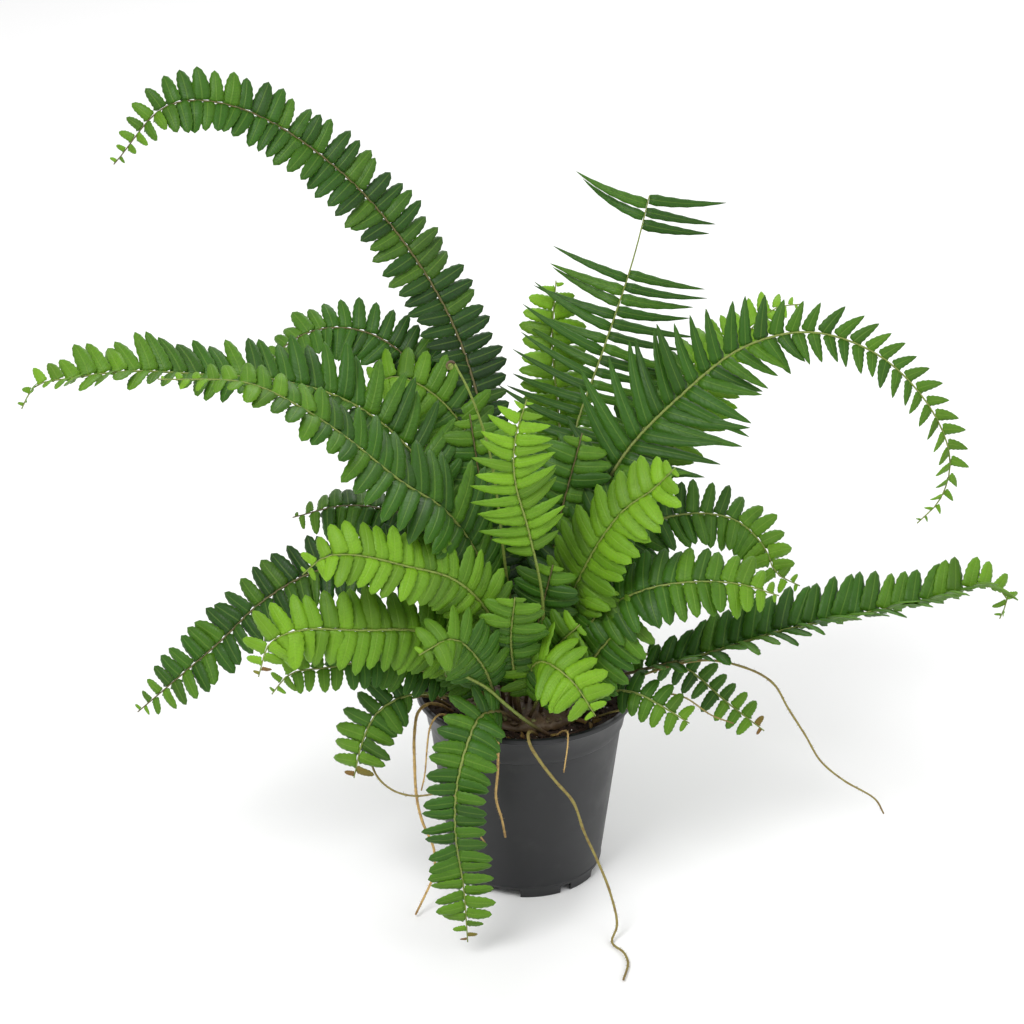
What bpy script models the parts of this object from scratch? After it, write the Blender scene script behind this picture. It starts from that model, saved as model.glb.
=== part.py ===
"""A potted sword fern, modelled at its real size.

A ladder-leaved fern (Nephrolepis habit) in a 12 cm plastic nursery pot.  The pot stands on its
feet with its axis on Z and its feet at z = 0; +X runs to the right along the plant's longest
spread and -Y is the front.  Every frond is one closed body: a four-sided stalk whose side faces
are grown out into leaflets.  Before a leaflet is grown it is tried against all that is already
there, and it is turned, shortened or left out until it stands clear.
"""
import math

import bmesh
import bpy
from mathutils import Matrix, Vector
from mathutils.bvhtree import BVHTree

MM = 0.001

# ---- driving dimensions, in millimetres -------------------------------------------------------
GAP = 0.3                    # air left between neighbouring bodies

POT_HEIGHT = 109.0
POT_RIM_RADIUS = 60.0        # outside of the rolled lip
POT_LIP_DEPTH = 3.0
POT_COLLAR_RADIUS = 54.0     # foot of the flared collar below the lip
POT_COLLAR_Z = 91.0
POT_STEP = 1.2               # the taper starts this much inside the collar
POT_BASE_RADIUS = 41.5
POT_WALL = 1.3
POT_FLOOR_Z = 5.5            # top of the recess below the floor
POT_SIDES = 48
FOOT_NOTCH_HEIGHT = 4.6
WIDE_NOTCH = 25.0            # degrees of the foot ring
NARROW_NOTCH = 9.0
WIDE_NOTCH_AT = (-106.5, -16.5, 73.5, 163.5)
NARROW_NOTCH_AT = (-58.0, 32.0, 122.0, 212.0)
DRAIN_RADIUS = 4.0
DRAIN_RING = 27.0

SOIL_Z = 100.0
SOIL_SIDES = 32
STOCK_RADIUS = 37.0          # the woody rootstock that all the stalks rise from
STOCK_HEIGHT = 4.5
STOCK_TOP = SOIL_Z + GAP + STOCK_HEIGHT

STALK_RADIUS = 1.25          # half thickness of a frond's stalk at its foot
STALK_TIP_RADIUS = 0.55
LEAFLET_ROOT = 2.6           # length of stalk that one leaflet grows from
LEAFLET_THICK = 0.7
LEAFLET_WIDTH = 0.62         # widest part, as a share of the spacing
CURVE_STEPS = 160            # points kept along a smoothed route

# a leaflet that would touch its neighbours is tried again, turned by (lift, lean) degrees, and
# then shorter
STANCES_TRIED = ((0, 0), (14, 0), (-14, 0), (0, 16), (0, -16), (26, 10), (-26, 10))
SIZES_TRIED = (1.0, 0.8, 0.6, 0.42)


# ---- fronds ------------------------------------------------------------------------------------
# name, tint, route (mm, foot first), upper side at the foot, upper side at the tip,
# leaflet lengths from the lowest to the last (mm), spacing (mm), share of bare stalk,
# lift of the leaflets out of the frond's plane, lean towards the tip (degrees)
FRONDS = (
    ("tall_arch", "dark",
     ((-12, 12), (-12, 32, 170), (-22, 62, 236), (-45, 92, 297), (-96, 108, 364), (-154, 112, 403),
      (-192, 105, 407), (-222, 95, 377)),
     (.75, -.35, .45), (-.3, -.7, .5), (27, 27, 25, 23, 22, 20), 15.5, .27, 34, 4),
    ("upright_tall", "mid",
     ((2, 10), (16, 36, 170), (26, 66, 228), (43, 92, 271), (59, 108, 317), (68, 117, 352)),
     (-.1, -.95, .3), (0, -.8, .5), (38, 52, 52, 46, 44), 15, .34, -4, 10),
    ("right_arch", "mid",
     ((14, 2), (28, 12, 180), (50, 28, 231), (85, 40, 267), (117, 46, 291), (152, 42, 301),
      (188, 30, 292), (215, 16, 267), (225, 6, 242), (220, 0, 222), (208, -4, 210)),
     (-.62, -.65, .25), (.6, -.5, .3), (46, 54, 50, 34, 25, 23, 22, 20, 20), 17, .22, 16, 22),
    ("left_wide", "mid",
     ((-12, -8), (-22, -22, 190), (-42, -32, 230), (-65, -38, 250), (-93, -42, 277),
      (-115, -46, 295), (-141, -48, 309), (-186, -50, 312)),
     (.25, -.55, .75), (0, -.1, 1), (30, 40, 40, 34, 24, 18, 16, 14), 15.5, .22, 16, 12),
    ("left_far", "mid",
     ((-20, 1), (-36, 8, 190), (-60, 14, 242), (-93, 14, 272), (-129, 8, 287), (-170, 0, 294),
      (-206, -8, 299), (-234, -12, 297), (-254, -16, 294), (-261, -20, 283)),
     (.1, -.5, .85), (-.3, -.2, .9), (30, 34, 34, 30, 26, 26, 22, 16), 16.5, .27, 30, 16),
    ("back_left_arch", "dark",
     ((-19, 16), (-30, 40, 165), (-44, 66, 238), (-63, 78, 269), (-84, 84, 283), (-107, 84, 287),
      (-126, 78, 283), (-142, 70, 271)),
     (.3, -.6, .7), (-.5, -.5, .6), (22, 22, 20, 18), 12.5, .37, 10, 10),
    ("centre_young", "bright",
     ((4, -12), (9, -34, 175), (1, -44, 225), (-6, -50, 256), (-6, -52, 279), (0, -50, 301)),
     (0, -.95, .3), (0, -.9, .4), (22, 26, 24, 20), 12.5, .36, 6, 10),
    ("right_back_young", "bright",
     ((20, 11), (50, 44, 165), (73, 66, 207), (91, 78, 232), (103, 84, 253), (121, 88, 281),
      (137, 88, 297), (150, 86, 300)),
     (-.4, -.7, .5), (-.3, -.5, .8), (16, 18, 22, 24, 20, 16), 14.5, .37, 14, 12),
    ("right_young", "bright",
     ((17, -6), (21, -14, 157), (33, -24, 198), (51, -30, 230), (65, -32, 242), (77, -34, 256)),
     (-.4, -.7, .55), (-.4, -.6, .6), (28, 28, 24, 20), 13.5, .32, 14, 16),
    ("right_curl", "mid",
     ((26, 4), (38, 20, 158), (61, 32, 189), (90, 38, 196), (115, 38, 192), (131, 32, 178),
      (137, 26, 166), (150, 22, 160)),
     (0, -.3, .95), (.3, -.8, .4), (22, 22, 20, 18, 16), 12.5, .24, 8, 8),
    ("right_mid", "mid",
     ((24, -5), (30, -20, 148), (44, -30, 173), (64, -38, 188), (87, -42, 194), (110, -44, 194),
      (132, -46, 188)),
     (0, -.6, .8), (0, -.6, .8), (24, 24, 22, 18), 13.5, .22, 10, 10),
    ("right_low", "mid",
     ((31, -2), (44, -10, 119), (62, -16, 128), (94, -20, 139), (137, -20, 154), (179, -14, 161),
      (220, -6, 166), (247, 0, 171), (260, 2, 163), (257, 2, 150)),
     (-.2, -.3, .9), (0, -.2, .95), (20, 24, 26, 26, 24, 20, 16), 15.5, .14, 50, 26),
    ("right_hang", "mid",
     ((29, 10), (48, 14, 118), (68, 14, 122), (90, 10, 114), (110, 2, 99), (131, -6, 85)),
     (0, -.7, .7), (.2, -.8, .5), (13, 13, 12), 11.5, .35, 4, 4),
    ("right_rim", "mid",
     ((29, -12), (42, -24, 119), (58, -34, 124), (74, -42, 119), (87, -48, 113)),
     (0, -.7, .7), (.2, -.8, .5), (15, 14, 12), 11.5, .4, 4, 4),
    ("front_right", "bright",
     ((14, -19), (3, -42, 142), (10, -58, 155), (24, -72, 151), (36, -80, 135)),
     (0, -.8, .6), (0, -.8, .6), (24, 22, 18), 12.5, .24, 8, 10),
    ("front_low", "mid",
     ((22, -18), (36, -34, 145), (60, -42, 179)),
     (-.2, -.8, .5), (-.2, -.8, .5), (24, 24, 20), 13.5, .2, 10, 6),
    ("front_hang", "mid",
     ((-4, -31), (-16, -58, 126), (-25, -76, 131), (-31, -88, 122), (-36, -98, 104),
      (-37, -101, 77), (-33, -102, 45), (-31, -101, 10)),
     (-.1, -.8, .5), (0, -.95, .3), (20, 19, 18, 18, 15), 13, .16, 16, 4),
    ("left_hang", "mid",
     ((-24, -20), (-44, -34, 123), (-65, -42, 126), (-79, -47, 119), (-87, -51, 104), (-92, -54, 83)),
     (-.1, -.9, .4), (-.2, -.9, .3), (18, 18, 16), 11.5, .45, 6, 6),
    ("left_fan", "bright",
     ((-12, -21), (-30, -42, 150), (-55, -58, 173), (-86, -68, 179), (-117, -72, 181),
      (-132, -74, 175), (-139, -74, 155)),
     (.1, -.8, .55), (0, -.9, .4), (26, 26, 24, 20, 16), 14, .24, 4, 8),
    ("left_thin", "mid",
     ((-20, -13), (-33, -30, 128), (-53, -44, 142), (-77, -52, 153), (-103, -56, 151),
      (-124, -56, 147), (-134, -56, 135)),
     (0, -.8, .55), (0, -.8, .55), (16, 16, 14, 12), 12.5, .24, 6, 4),
    ("left_bright", "bright",
     ((-5, -18), (-18, -44, 173), (-37, -60, 204), (-62, -72, 218), (-87, -78, 227),
      (-102, -80, 227), (-114, -80, 217)),
     (0, -.7, .7), (-.1, -.8, .6), (22, 22, 20, 16), 12.5, .3, 12, 14),
    ("left_dark", "dark",
     ((-28, -5), (-34, -7, 160), (-53, -9, 187), (-83, -12, 192), (-115, -16, 186), (-141, -20, 171),
      (-163, -24, 150), (-183, -28, 133), (-209, -30, 110)),
     (0, -.6, .8), (-.3, -.8, .5), (22, 22, 22, 20, 18, 18), 14, .22, 18, 8),
    ("left_back_dark", "dark",
     ((-28, 8), (-32, 24, 156), (-49, 34, 188), (-74, 40, 197), (-99, 42, 199), (-128, 44, 191)),
     (0, -.5, .85), (0, -.5, .85), (22, 22, 18), 13.5, .27, -8, 6),
    ("back_left_green", "mid",
     ((-8, 22), (-18, 46, 185), (-31, 54, 235), (-52, 58, 260), (-71, 60, 268), (-89, 60, 259)),
     (0, -.8, .6), (0, -.8, .6), (24, 24, 20), 13.5, .42, 6, 6),
    ("back_yellow", "bright",
     ((6, 22), (12, 66, 157), (19, 92, 216), (15, 112, 268), (17, 120, 301)),
     (.1, -.9, .4), (.1, -.9, .4), (26, 24, 20, 18), 13.5, .45, 6, 6),
    ("back_right_green", "mid",
     ((14, 18), (37, 50, 166), (62, 80, 222), (96, 100, 261), (119, 106, 277)),
     (-.4, -.8, .4), (-.4, -.8, .4), (30, 26, 20), 14.5, .42, 10, 10),
    ("front_left_low", "mid",
     ((-13, -29), (-24, -62, 157), (-39, -80, 180), (-55, -90, 176)),
     (0, -.8, .6), (0, -.8, .6), (20, 20, 16), 12.5, .3, 8, 8),
    ("front_centre", "mid",
     ((-3, -24), (-8, -54, 165), (-6, -68, 198)),
     (0, -.9, .4), (0, -.9, .4), (22, 20, 18), 12.5, .3, 8, 8),
    ("back_low_left", "dark",
     ((-13, 30), (-28, 72, 160), (-50, 104, 175), (-72, 118, 152)),
     (0, .3, .95), (-.3, .7, .6), (24, 24, 20), 14.5, .3, 8, 8),
    ("back_low_middle", "dark",
     ((0, 32), (-4, 78, 165), (0, 108, 176), (6, 124, 152)),
     (0, .3, .95), (0, .8, .6), (24, 24, 20), 14.5, .3, 8, 8),
    ("back_low_right", "mid",
     ((15, 29), (36, 76, 158), (58, 102, 172), (84, 112, 152)),
     (0, .3, .95), (.3, .7, .6), (24, 24, 20), 14.5, .3, 8, 8),
    ("inner_left", "dark",
     ((-6, 2), (-14, 8, 170), (-32, 24, 225), (-58, 36, 240)),
     (.2, -.7, .6), (.1, -.7, .6), (26, 26, 22), 14.5, .35, 8, 8),
    ("inner_right", "dark",
     ((9, -3), (18, 0, 160), (38, 6, 205), (66, 10, 222)),
     (-.2, -.7, .6), (-.1, -.7, .6), (26, 26, 22), 14.5, .3, 8, 8),
)

# the stretch of a frond's stalk, in shares of its length, that has lost its leaflets
LOST_LEAFLETS = {"upright_tall_frond": (0.77, 0.93)}

# ---- runners and roots: name, tint, radius (mm), route (mm) -------------------------------------
RUNNERS = (
    ("runner_front", "olive", .9,
     ((6, -41, 102), (3, -50, 109), (1, -58, 112), (2, -64, 109), (8, -66, 99), (16, -67, 88),
      (25, -67, 76), (31, -68, 58), (38, -70, 42), (45, -73, 24), (49, -80, 7), (46, -88, 1.5),
      (52, -98, 1.5), (54, -108, 1.5), (51, -124, 1.5))),
    ("runner_right", "olive", .75,
     ((41, 1, 101.5), (60, -4, 117), (97, -14, 133), (122, -18, 129), (134, -19, 121),
      (142, -20, 107), (152, -22, 91), (161, -22, 75), (174, -22, 63), (192, -22, 51),
      (197, -22, 42))),
    ("runner_left", "tan", .95,
     ((-40, -14, 101.5), (-47, -20, 109), (-53, -25, 112), (-58, -30, 110), (-60, -36, 100),
      (-60, -41, 85), (-59, -44, 65), (-56, -46, 51), (-50, -49, 36), (-50, -52, 22),
      (-56, -56, 8), (-60, -62, 2))),
    ("runner_loop", "olive", .75,
     ((-41, -8, 101.2), (-50, -14, 110), (-58, -20, 114), (-80, -33, 110), (-84, -42, 93), (-80, -50, 82),
      (-71, -57, 77), (-60, -61, 76), (-51, -63, 78), (-43, -64, 80))),
    ("root_left", "tan", .6,
     ((-33, -24, 101.5), (-42, -32, 109), (-47, -37, 112), (-51, -41, 108), (-53, -48, 97),
      (-54, -54, 86), (-56, -57, 77))),
    ("root_middle", "tan", .9,
     ((-13, -40, 102), (-14, -50, 109), (-15, -57, 112), (-15, -62, 108), (-15, -64, 94),
      (-16, -65, 77), (-13, -66, 65), (-11, -67, 54))),
    ("root_low", "tan", .7,
     ((-28, -36, 101.5), (-32, -42, 109), (-36, -47, 112), (-39, -52, 107), (-40, -57, 97),
      (-39, -61, 80), (-33, -64, 65), (-27, -66, 58), (-22, -66, 50))),
    ("rootlet", "tan", .5,
     ((16, -41, 101.5), (20, -49, 109), (22, -55, 111.5), (22, -60, 107), (20, -62, 91))),
    ("runner_rim", "olive", .6,
     ((36, -22, 101.2), (45, -29, 109), (51, -33, 113), (62, -36, 119), (72, -34, 123), (84, -33, 121),
      (100, -32, 109), (112, -30, 103))),
    ("young_stalk", "bright", .9,
     ((0, 3), (-10, -12, 180), (-19, -21, 258), (-29, -24, 293), (-37, -24, 310))),
    ("unfurling_stalk", "bright", 1.1,
     ((12, -41, 102), (2, -50, 114), (-10, -56, 128), (-21, -60, 141), (-31, -65, 150),
      (-39, -69, 157))),
)

TINTS = {
    "dark": (0.035, 0.105, 0.035),
    "mid": (0.085, 0.215, 0.035),
    "bright": (0.22, 0.40, 0.05),
    "olive": (0.16, 0.15, 0.045),
    "tan": (0.42, 0.29, 0.13),
}


# ---- routes ------------------------------------------------------------------------------------
def blend(a, b, start, end, t):
    """The point between a and b that belongs to t, where a belongs to start and b to end."""
    return a.lerp(b, (t - start) / (end - start)) if end > start else a.copy()


def curve_piece(corners, steps):
    """Points on the centripetal Catmull-Rom curve between the two middle corners of four."""
    p0, p1, p2, p3 = corners
    t0 = 0.0
    t1 = t0 + math.sqrt((p1 - p0).length)
    t2 = t1 + math.sqrt((p2 - p1).length)
    t3 = t2 + math.sqrt((p3 - p2).length)
    piece = []
    for step in range(steps):
        t = t1 + (t2 - t1) * step / steps
        a1 = p0 + (p1 - p0) * ((t - t0) / (t1 - t0))
        a2 = blend(p1, p2, t1, t2, t)
        a3 = p2 + (p3 - p2) * ((t - t2) / (t3 - t2))
        b1 = a1 + (a2 - a1) * ((t - t0) / (t2 - t0))
        b2 = a2 + (a3 - a2) * ((t - t1) / (t3 - t1))
        piece.append(blend(b1, b2, t1, t2, t))
    return piece


def smooth_route(points, steps=CURVE_STEPS):
    """Evenly spaced points on a smooth curve through the given ones, and the curve's length."""
    corners = [2 * points[0] - points[1]] + list(points) + [2 * points[-1] - points[-2]]
    dense = []
    for i in range(len(corners) - 3):
        dense += curve_piece(corners[i:i + 4], 24)
    dense.append(points[-1].copy())
    travelled = [0.0]
    for a, b in zip(dense, dense[1:]):
        travelled.append(travelled[-1] + (b - a).length)
    length = travelled[-1]
    line = []
    place = 0
    for step in range(steps + 1):
        wanted = length * step / steps
        while place < len(dense) - 2 and travelled[place + 1] < wanted:
            place += 1
        line.append(blend(dense[place], dense[place + 1], travelled[place], travelled[place + 1], wanted))
    return line, length


def route_points(route):
    """A route's corners in metres; a first corner without a height stands on the rootstock."""
    corners = []
    for corner in route:
        height = corner[2] if len(corner) == 3 else STOCK_TOP + GAP
        corners.append(Vector((corner[0], corner[1], height)) * MM)
    return corners


class Stalk:
    """A smooth route with its tangent, upper side and width direction at every share of it."""

    def __init__(self, route, face_foot, face_tip, radius_foot, radius_tip):
        self.level_foot = len(route[0]) == 2
        self.line, self.length = smooth_route(route_points(route))
        self.face_foot = Vector(face_foot).normalized()
        self.face_tip = Vector(face_tip).normalized()
        self.radius_foot = radius_foot * MM
        self.radius_tip = radius_tip * MM

    def point(self, share):
        place = min(max(share, 0.0), 1.0) * (len(self.line) - 1)
        low = min(int(place), len(self.line) - 2)
        return self.line[low].lerp(self.line[low + 1], place - low)

    def axes(self, share):
        step = 1.5 / len(self.line)
        along = (self.point(share + step) - self.point(share - step)).normalized()
        face = self.face_foot.lerp(self.face_tip, share)
        up = (face - along * face.dot(along)).normalized()
        return along, up, along.cross(up)

    def radius(self, share):
        return self.radius_foot + (self.radius_tip - self.radius_foot) * share

    def ring(self, share):
        """Four corners of the section: left top, left bottom, right bottom, right top."""
        centre = self.point(share)
        _, up, side = self.axes(share)
        if share == 0.0 and self.level_foot:
            up, side = self.level(up), self.level(side)
        r = self.radius(share)
        return [centre + side * (-r) + up * r, centre + side * (-r) - up * r,
                centre + side * r - up * r, centre + side * r + up * r]

    @staticmethod
    def level(direction):
        """A direction laid level, so that a stalk's foot stands flat on the rootstock."""
        return Vector((direction.x, direction.y, 0.0)).normalized()


# ---- bodies ------------------------------------------------------------------------------------
def material(name, color, roughness=0.5, metallic=0.0):
    made = bpy.data.materials.new(name)
    made.use_nodes = True
    shader = made.node_tree.nodes["Principled BSDF"]
    shader.inputs["Base Color"].default_value = (*color, 1.0)
    shader.inputs["Roughness"].default_value = roughness
    shader.inputs["Metallic"].default_value = metallic
    return made


def add_object(name, bm, finish, sharp=40.0):
    """Turn a bmesh into one named object of its own material, shaded smooth below a sharp angle."""
    bmesh.ops.recalc_face_normals(bm, faces=bm.faces[:])
    mesh = bpy.data.meshes.new(name)
    bm.to_mesh(mesh)
    bm.free()
    mesh.shade_smooth()
    mesh.set_sharp_from_angle(angle=math.radians(sharp))
    mesh.materials.append(finish)
    made = bpy.data.objects.new(name, mesh)
    bpy.context.scene.collection.objects.link(made)
    return made


def turned(profile, sides):
    """Turn an (r, z) outline in mm about Z; it starts and ends on the axis."""
    bm = bmesh.new()
    corners = [bm.verts.new((r * MM, 0.0, z * MM)) for r, z in profile]
    edges = [bm.edges.new(pair) for pair in zip(corners, corners[1:])]
    bmesh.ops.spin(bm, geom=corners + edges, cent=(0, 0, 0), axis=(0, 0, 1), dvec=(0, 0, 0),
                   angle=math.tau, steps=sides, use_merge=True)
    bmesh.ops.remove_doubles(bm, verts=bm.verts[:], dist=0.00001)
    bmesh.ops.recalc_face_normals(bm, faces=bm.faces[:])
    return bm


def tree_of(bm):
    return BVHTree.FromBMesh(bm, epsilon=0.0)


class Obstacles:
    """Everything already placed, as small search trees with a bounding ball each."""

    def __init__(self):
        self.placed = []

    def add(self, tree, centre=None, reach=None):
        self.placed.append((tree, centre, reach))

    def touches(self, tree, centre, reach):
        for other, place, size in self.placed:
            near = place is None or (place - centre).length < size + reach
            if near and tree.overlap(other):
                return True
        return False


# ---- pot, soil and rootstock -------------------------------------------------------------------
def wall_radius(z):
    """Outside radius of the pot wall between the foot and the collar."""
    top = POT_COLLAR_RADIUS - POT_STEP
    return POT_BASE_RADIUS + (top - POT_BASE_RADIUS) * z / POT_COLLAR_Z


def collar_radius(z):
    """Outside radius of the flared collar below the lip."""
    lip_foot = POT_HEIGHT - POT_LIP_DEPTH
    share = (z - POT_COLLAR_Z) / (lip_foot - POT_COLLAR_Z)
    return POT_COLLAR_RADIUS + (POT_RIM_RADIUS - 1.3 - POT_COLLAR_RADIUS) * share ** 1.6


def pot_profile():
    skirt = wall_radius(0.0) - POT_WALL
    lip_foot = POT_HEIGHT - POT_LIP_DEPTH
    outside = [(0.0, POT_FLOOR_Z), (skirt, POT_FLOOR_Z), (skirt, 0.0), (POT_BASE_RADIUS, 0.0),
               (wall_radius(POT_COLLAR_Z - 1.0), POT_COLLAR_Z - 1.0)]
    outside += [(collar_radius(z), z) for z in (POT_COLLAR_Z, POT_COLLAR_Z + 8.0, lip_foot)]
    lip = [(POT_RIM_RADIUS, lip_foot + 0.5), (POT_RIM_RADIUS, POT_HEIGHT - 0.7),
           (POT_RIM_RADIUS - 0.7, POT_HEIGHT), (collar_radius(lip_foot) - POT_WALL, POT_HEIGHT)]
    inside = [(collar_radius(z) - POT_WALL, z) for z in (POT_COLLAR_Z + 8.0, POT_COLLAR_Z)]
    inside += [(wall_radius(POT_COLLAR_Z - 2.5) - POT_WALL, POT_COLLAR_Z - 2.5),
               (wall_radius(POT_FLOOR_Z + POT_WALL) - POT_WALL, POT_FLOOR_Z + POT_WALL),
               (0.0, POT_FLOOR_Z + POT_WALL)]
    return outside + lip + inside


def pot_cutters():
    """Notches through the foot ring, and drain holes through the floor."""
    bm = bmesh.new()
    notches = [(at, WIDE_NOTCH) for at in WIDE_NOTCH_AT] + [(at, NARROW_NOTCH) for at in NARROW_NOTCH_AT]
    for at, width in notches:
        cube = bmesh.ops.create_cube(bm, size=1.0)["verts"]
        chord = 2 * POT_BASE_RADIUS * math.sin(math.radians(width / 2))
        bmesh.ops.scale(bm, verts=cube, vec=(10 * MM, chord * MM, 2 * FOOT_NOTCH_HEIGHT * MM))
        bmesh.ops.translate(bm, verts=cube, vec=(POT_BASE_RADIUS * MM, 0.0, 0.0))
        turn = Matrix.Rotation(math.radians(at), 3, "Z")
        bmesh.ops.rotate(bm, verts=cube, cent=(0, 0, 0), matrix=turn)
    for at, _ in notches[:4]:
        hole = bmesh.ops.create_cone(bm, cap_ends=True, segments=14, radius1=DRAIN_RADIUS * MM,
                                     radius2=DRAIN_RADIUS * MM, depth=6 * MM)["verts"]
        bmesh.ops.translate(bm, verts=hole, vec=(DRAIN_RING * MM, 0.0, (POT_FLOOR_Z + 1.0) * MM))
        turn = Matrix.Rotation(math.radians(at), 3, "Z")
        bmesh.ops.rotate(bm, verts=hole, cent=(0, 0, 0), matrix=turn)
    cutters = add_object("pot_cutters", bm, material("cutter", (0.5, 0.5, 0.5)))
    cutters.hide_render = True
    cutters.display_type = "WIRE"
    return cutters


def build_pot(obstacles):
    bm = turned(pot_profile(), POT_SIDES)
    obstacles.add(tree_of(bm))
    pot = add_object("pot", bm, material("black_plastic", (0.012, 0.012, 0.013), 0.45))
    cut = pot.modifiers.new("notches", "BOOLEAN")
    cut.operation = "DIFFERENCE"
    cut.object = pot_cutters()
    return pot


def build_soil(obstacles):
    floor_z = POT_FLOOR_Z + POT_WALL + GAP
    inset = POT_WALL + GAP
    profile = [(0.0, floor_z), (wall_radius(floor_z) - inset, floor_z),
               (wall_radius(POT_COLLAR_Z - 2.5) - inset, POT_COLLAR_Z - 2.5),
               (collar_radius(SOIL_Z - 2.0) - inset - 0.6, SOIL_Z - 2.0),
               (collar_radius(SOIL_Z) - inset - 4.0, SOIL_Z - 0.4), (STOCK_RADIUS + 1.5, SOIL_Z),
               (0.0, SOIL_Z)]
    bm = turned(profile, SOIL_SIDES)
    obstacles.add(tree_of(bm))
    add_object("soil", bm, material("peat", (0.020, 0.012, 0.008), 0.95))


def build_rootstock(obstacles):
    foot_z = SOIL_Z + GAP
    profile = [(0.0, foot_z), (STOCK_RADIUS, foot_z), (STOCK_RADIUS, foot_z + 1.5),
               (STOCK_RADIUS - 3.0, STOCK_TOP), (0.0, STOCK_TOP)]
    bm = turned(profile, SOIL_SIDES)
    obstacles.add(tree_of(bm))
    add_object("rootstock", bm, material("rootstock_wood", (0.075, 0.045, 0.022), 0.9))


# ---- fronds ------------------------------------------------------------------------------------
class Leaflet:
    """One leaflet: a blade that grows from a stretch of one side of the stalk."""

    def __init__(self, stalk, share, half_root, side, length, width, lift, lean):
        self.root = (share - half_root, share + half_root)
        self.side = side
        along, up, across = stalk.axes(share)
        out = across * side
        rise = math.radians(lift)
        self.aim = (out * math.cos(rise) + up * math.sin(rise)) * math.cos(math.radians(lean))
        self.aim = (self.aim + along * math.sin(math.radians(lean))).normalized()
        self.top = (up * math.cos(rise) - out * math.sin(rise)).normalized()
        self.breadth = self.top.cross(self.aim).normalized()
        if self.breadth.dot(along) < 0.0:
            self.breadth.negate()
        self.top = self.aim.cross(self.breadth).normalized()
        if self.top.dot(up) < 0.0:
            self.top.negate()
        self.root_radius = stalk.radius(share)
        self.foot = stalk.point(share) + out * self.root_radius
        self.length = length
        self.width = width

    def middle(self, grow=0.0):
        """The four corners of the blade's widest section: rear top, rear bottom, front ones."""
        centre = self.foot + self.aim * (self.length * 0.42)
        half = self.breadth * (self.width / 2 + grow)
        thick = self.top * (LEAFLET_THICK * MM / 2 + grow)
        return [centre - half + thick, centre - half - thick,
                centre + half - thick, centre + half + thick]

    def tip(self, grow=0.0):
        return self.foot + self.aim * (self.length + grow) - self.top * (self.length * 0.05)

    def probe(self, grow):
        """A search tree of the blade, swollen by grow."""
        start = self.foot + self.aim * (1.6 * MM)
        half = self.breadth * (LEAFLET_ROOT * MM / 2 + grow)
        thick = self.top * (self.root_radius * 0.8 + grow)
        root = [start - half + thick, start - half - thick, start + half - thick, start + half + thick]
        corners = root + self.middle(grow) + [self.tip(grow)]
        faces = [(3, 2, 1, 0)]
        for i in range(4):
            j = (i + 1) % 4
            faces += [(i, j, j + 4, i + 4), (i + 4, j + 4, 8)]
        return BVHTree.FromPolygons(corners, faces, all_triangles=False, epsilon=0.0)

    def lowest(self):
        return min(corner.z for corner in self.middle() + [self.tip()])

    def grow(self, bm, root_ring):
        """Grow the blade from its four root corners: rear top, rear bottom, front ones."""
        middle = [bm.verts.new(corner) for corner in self.middle()]
        tip = bm.verts.new(self.tip())
        for i in range(4):
            j = (i + 1) % 4
            bm.faces.new((root_ring[i], root_ring[j], middle[j], middle[i]))
            bm.faces.new((middle[i], middle[j], tip))


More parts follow.
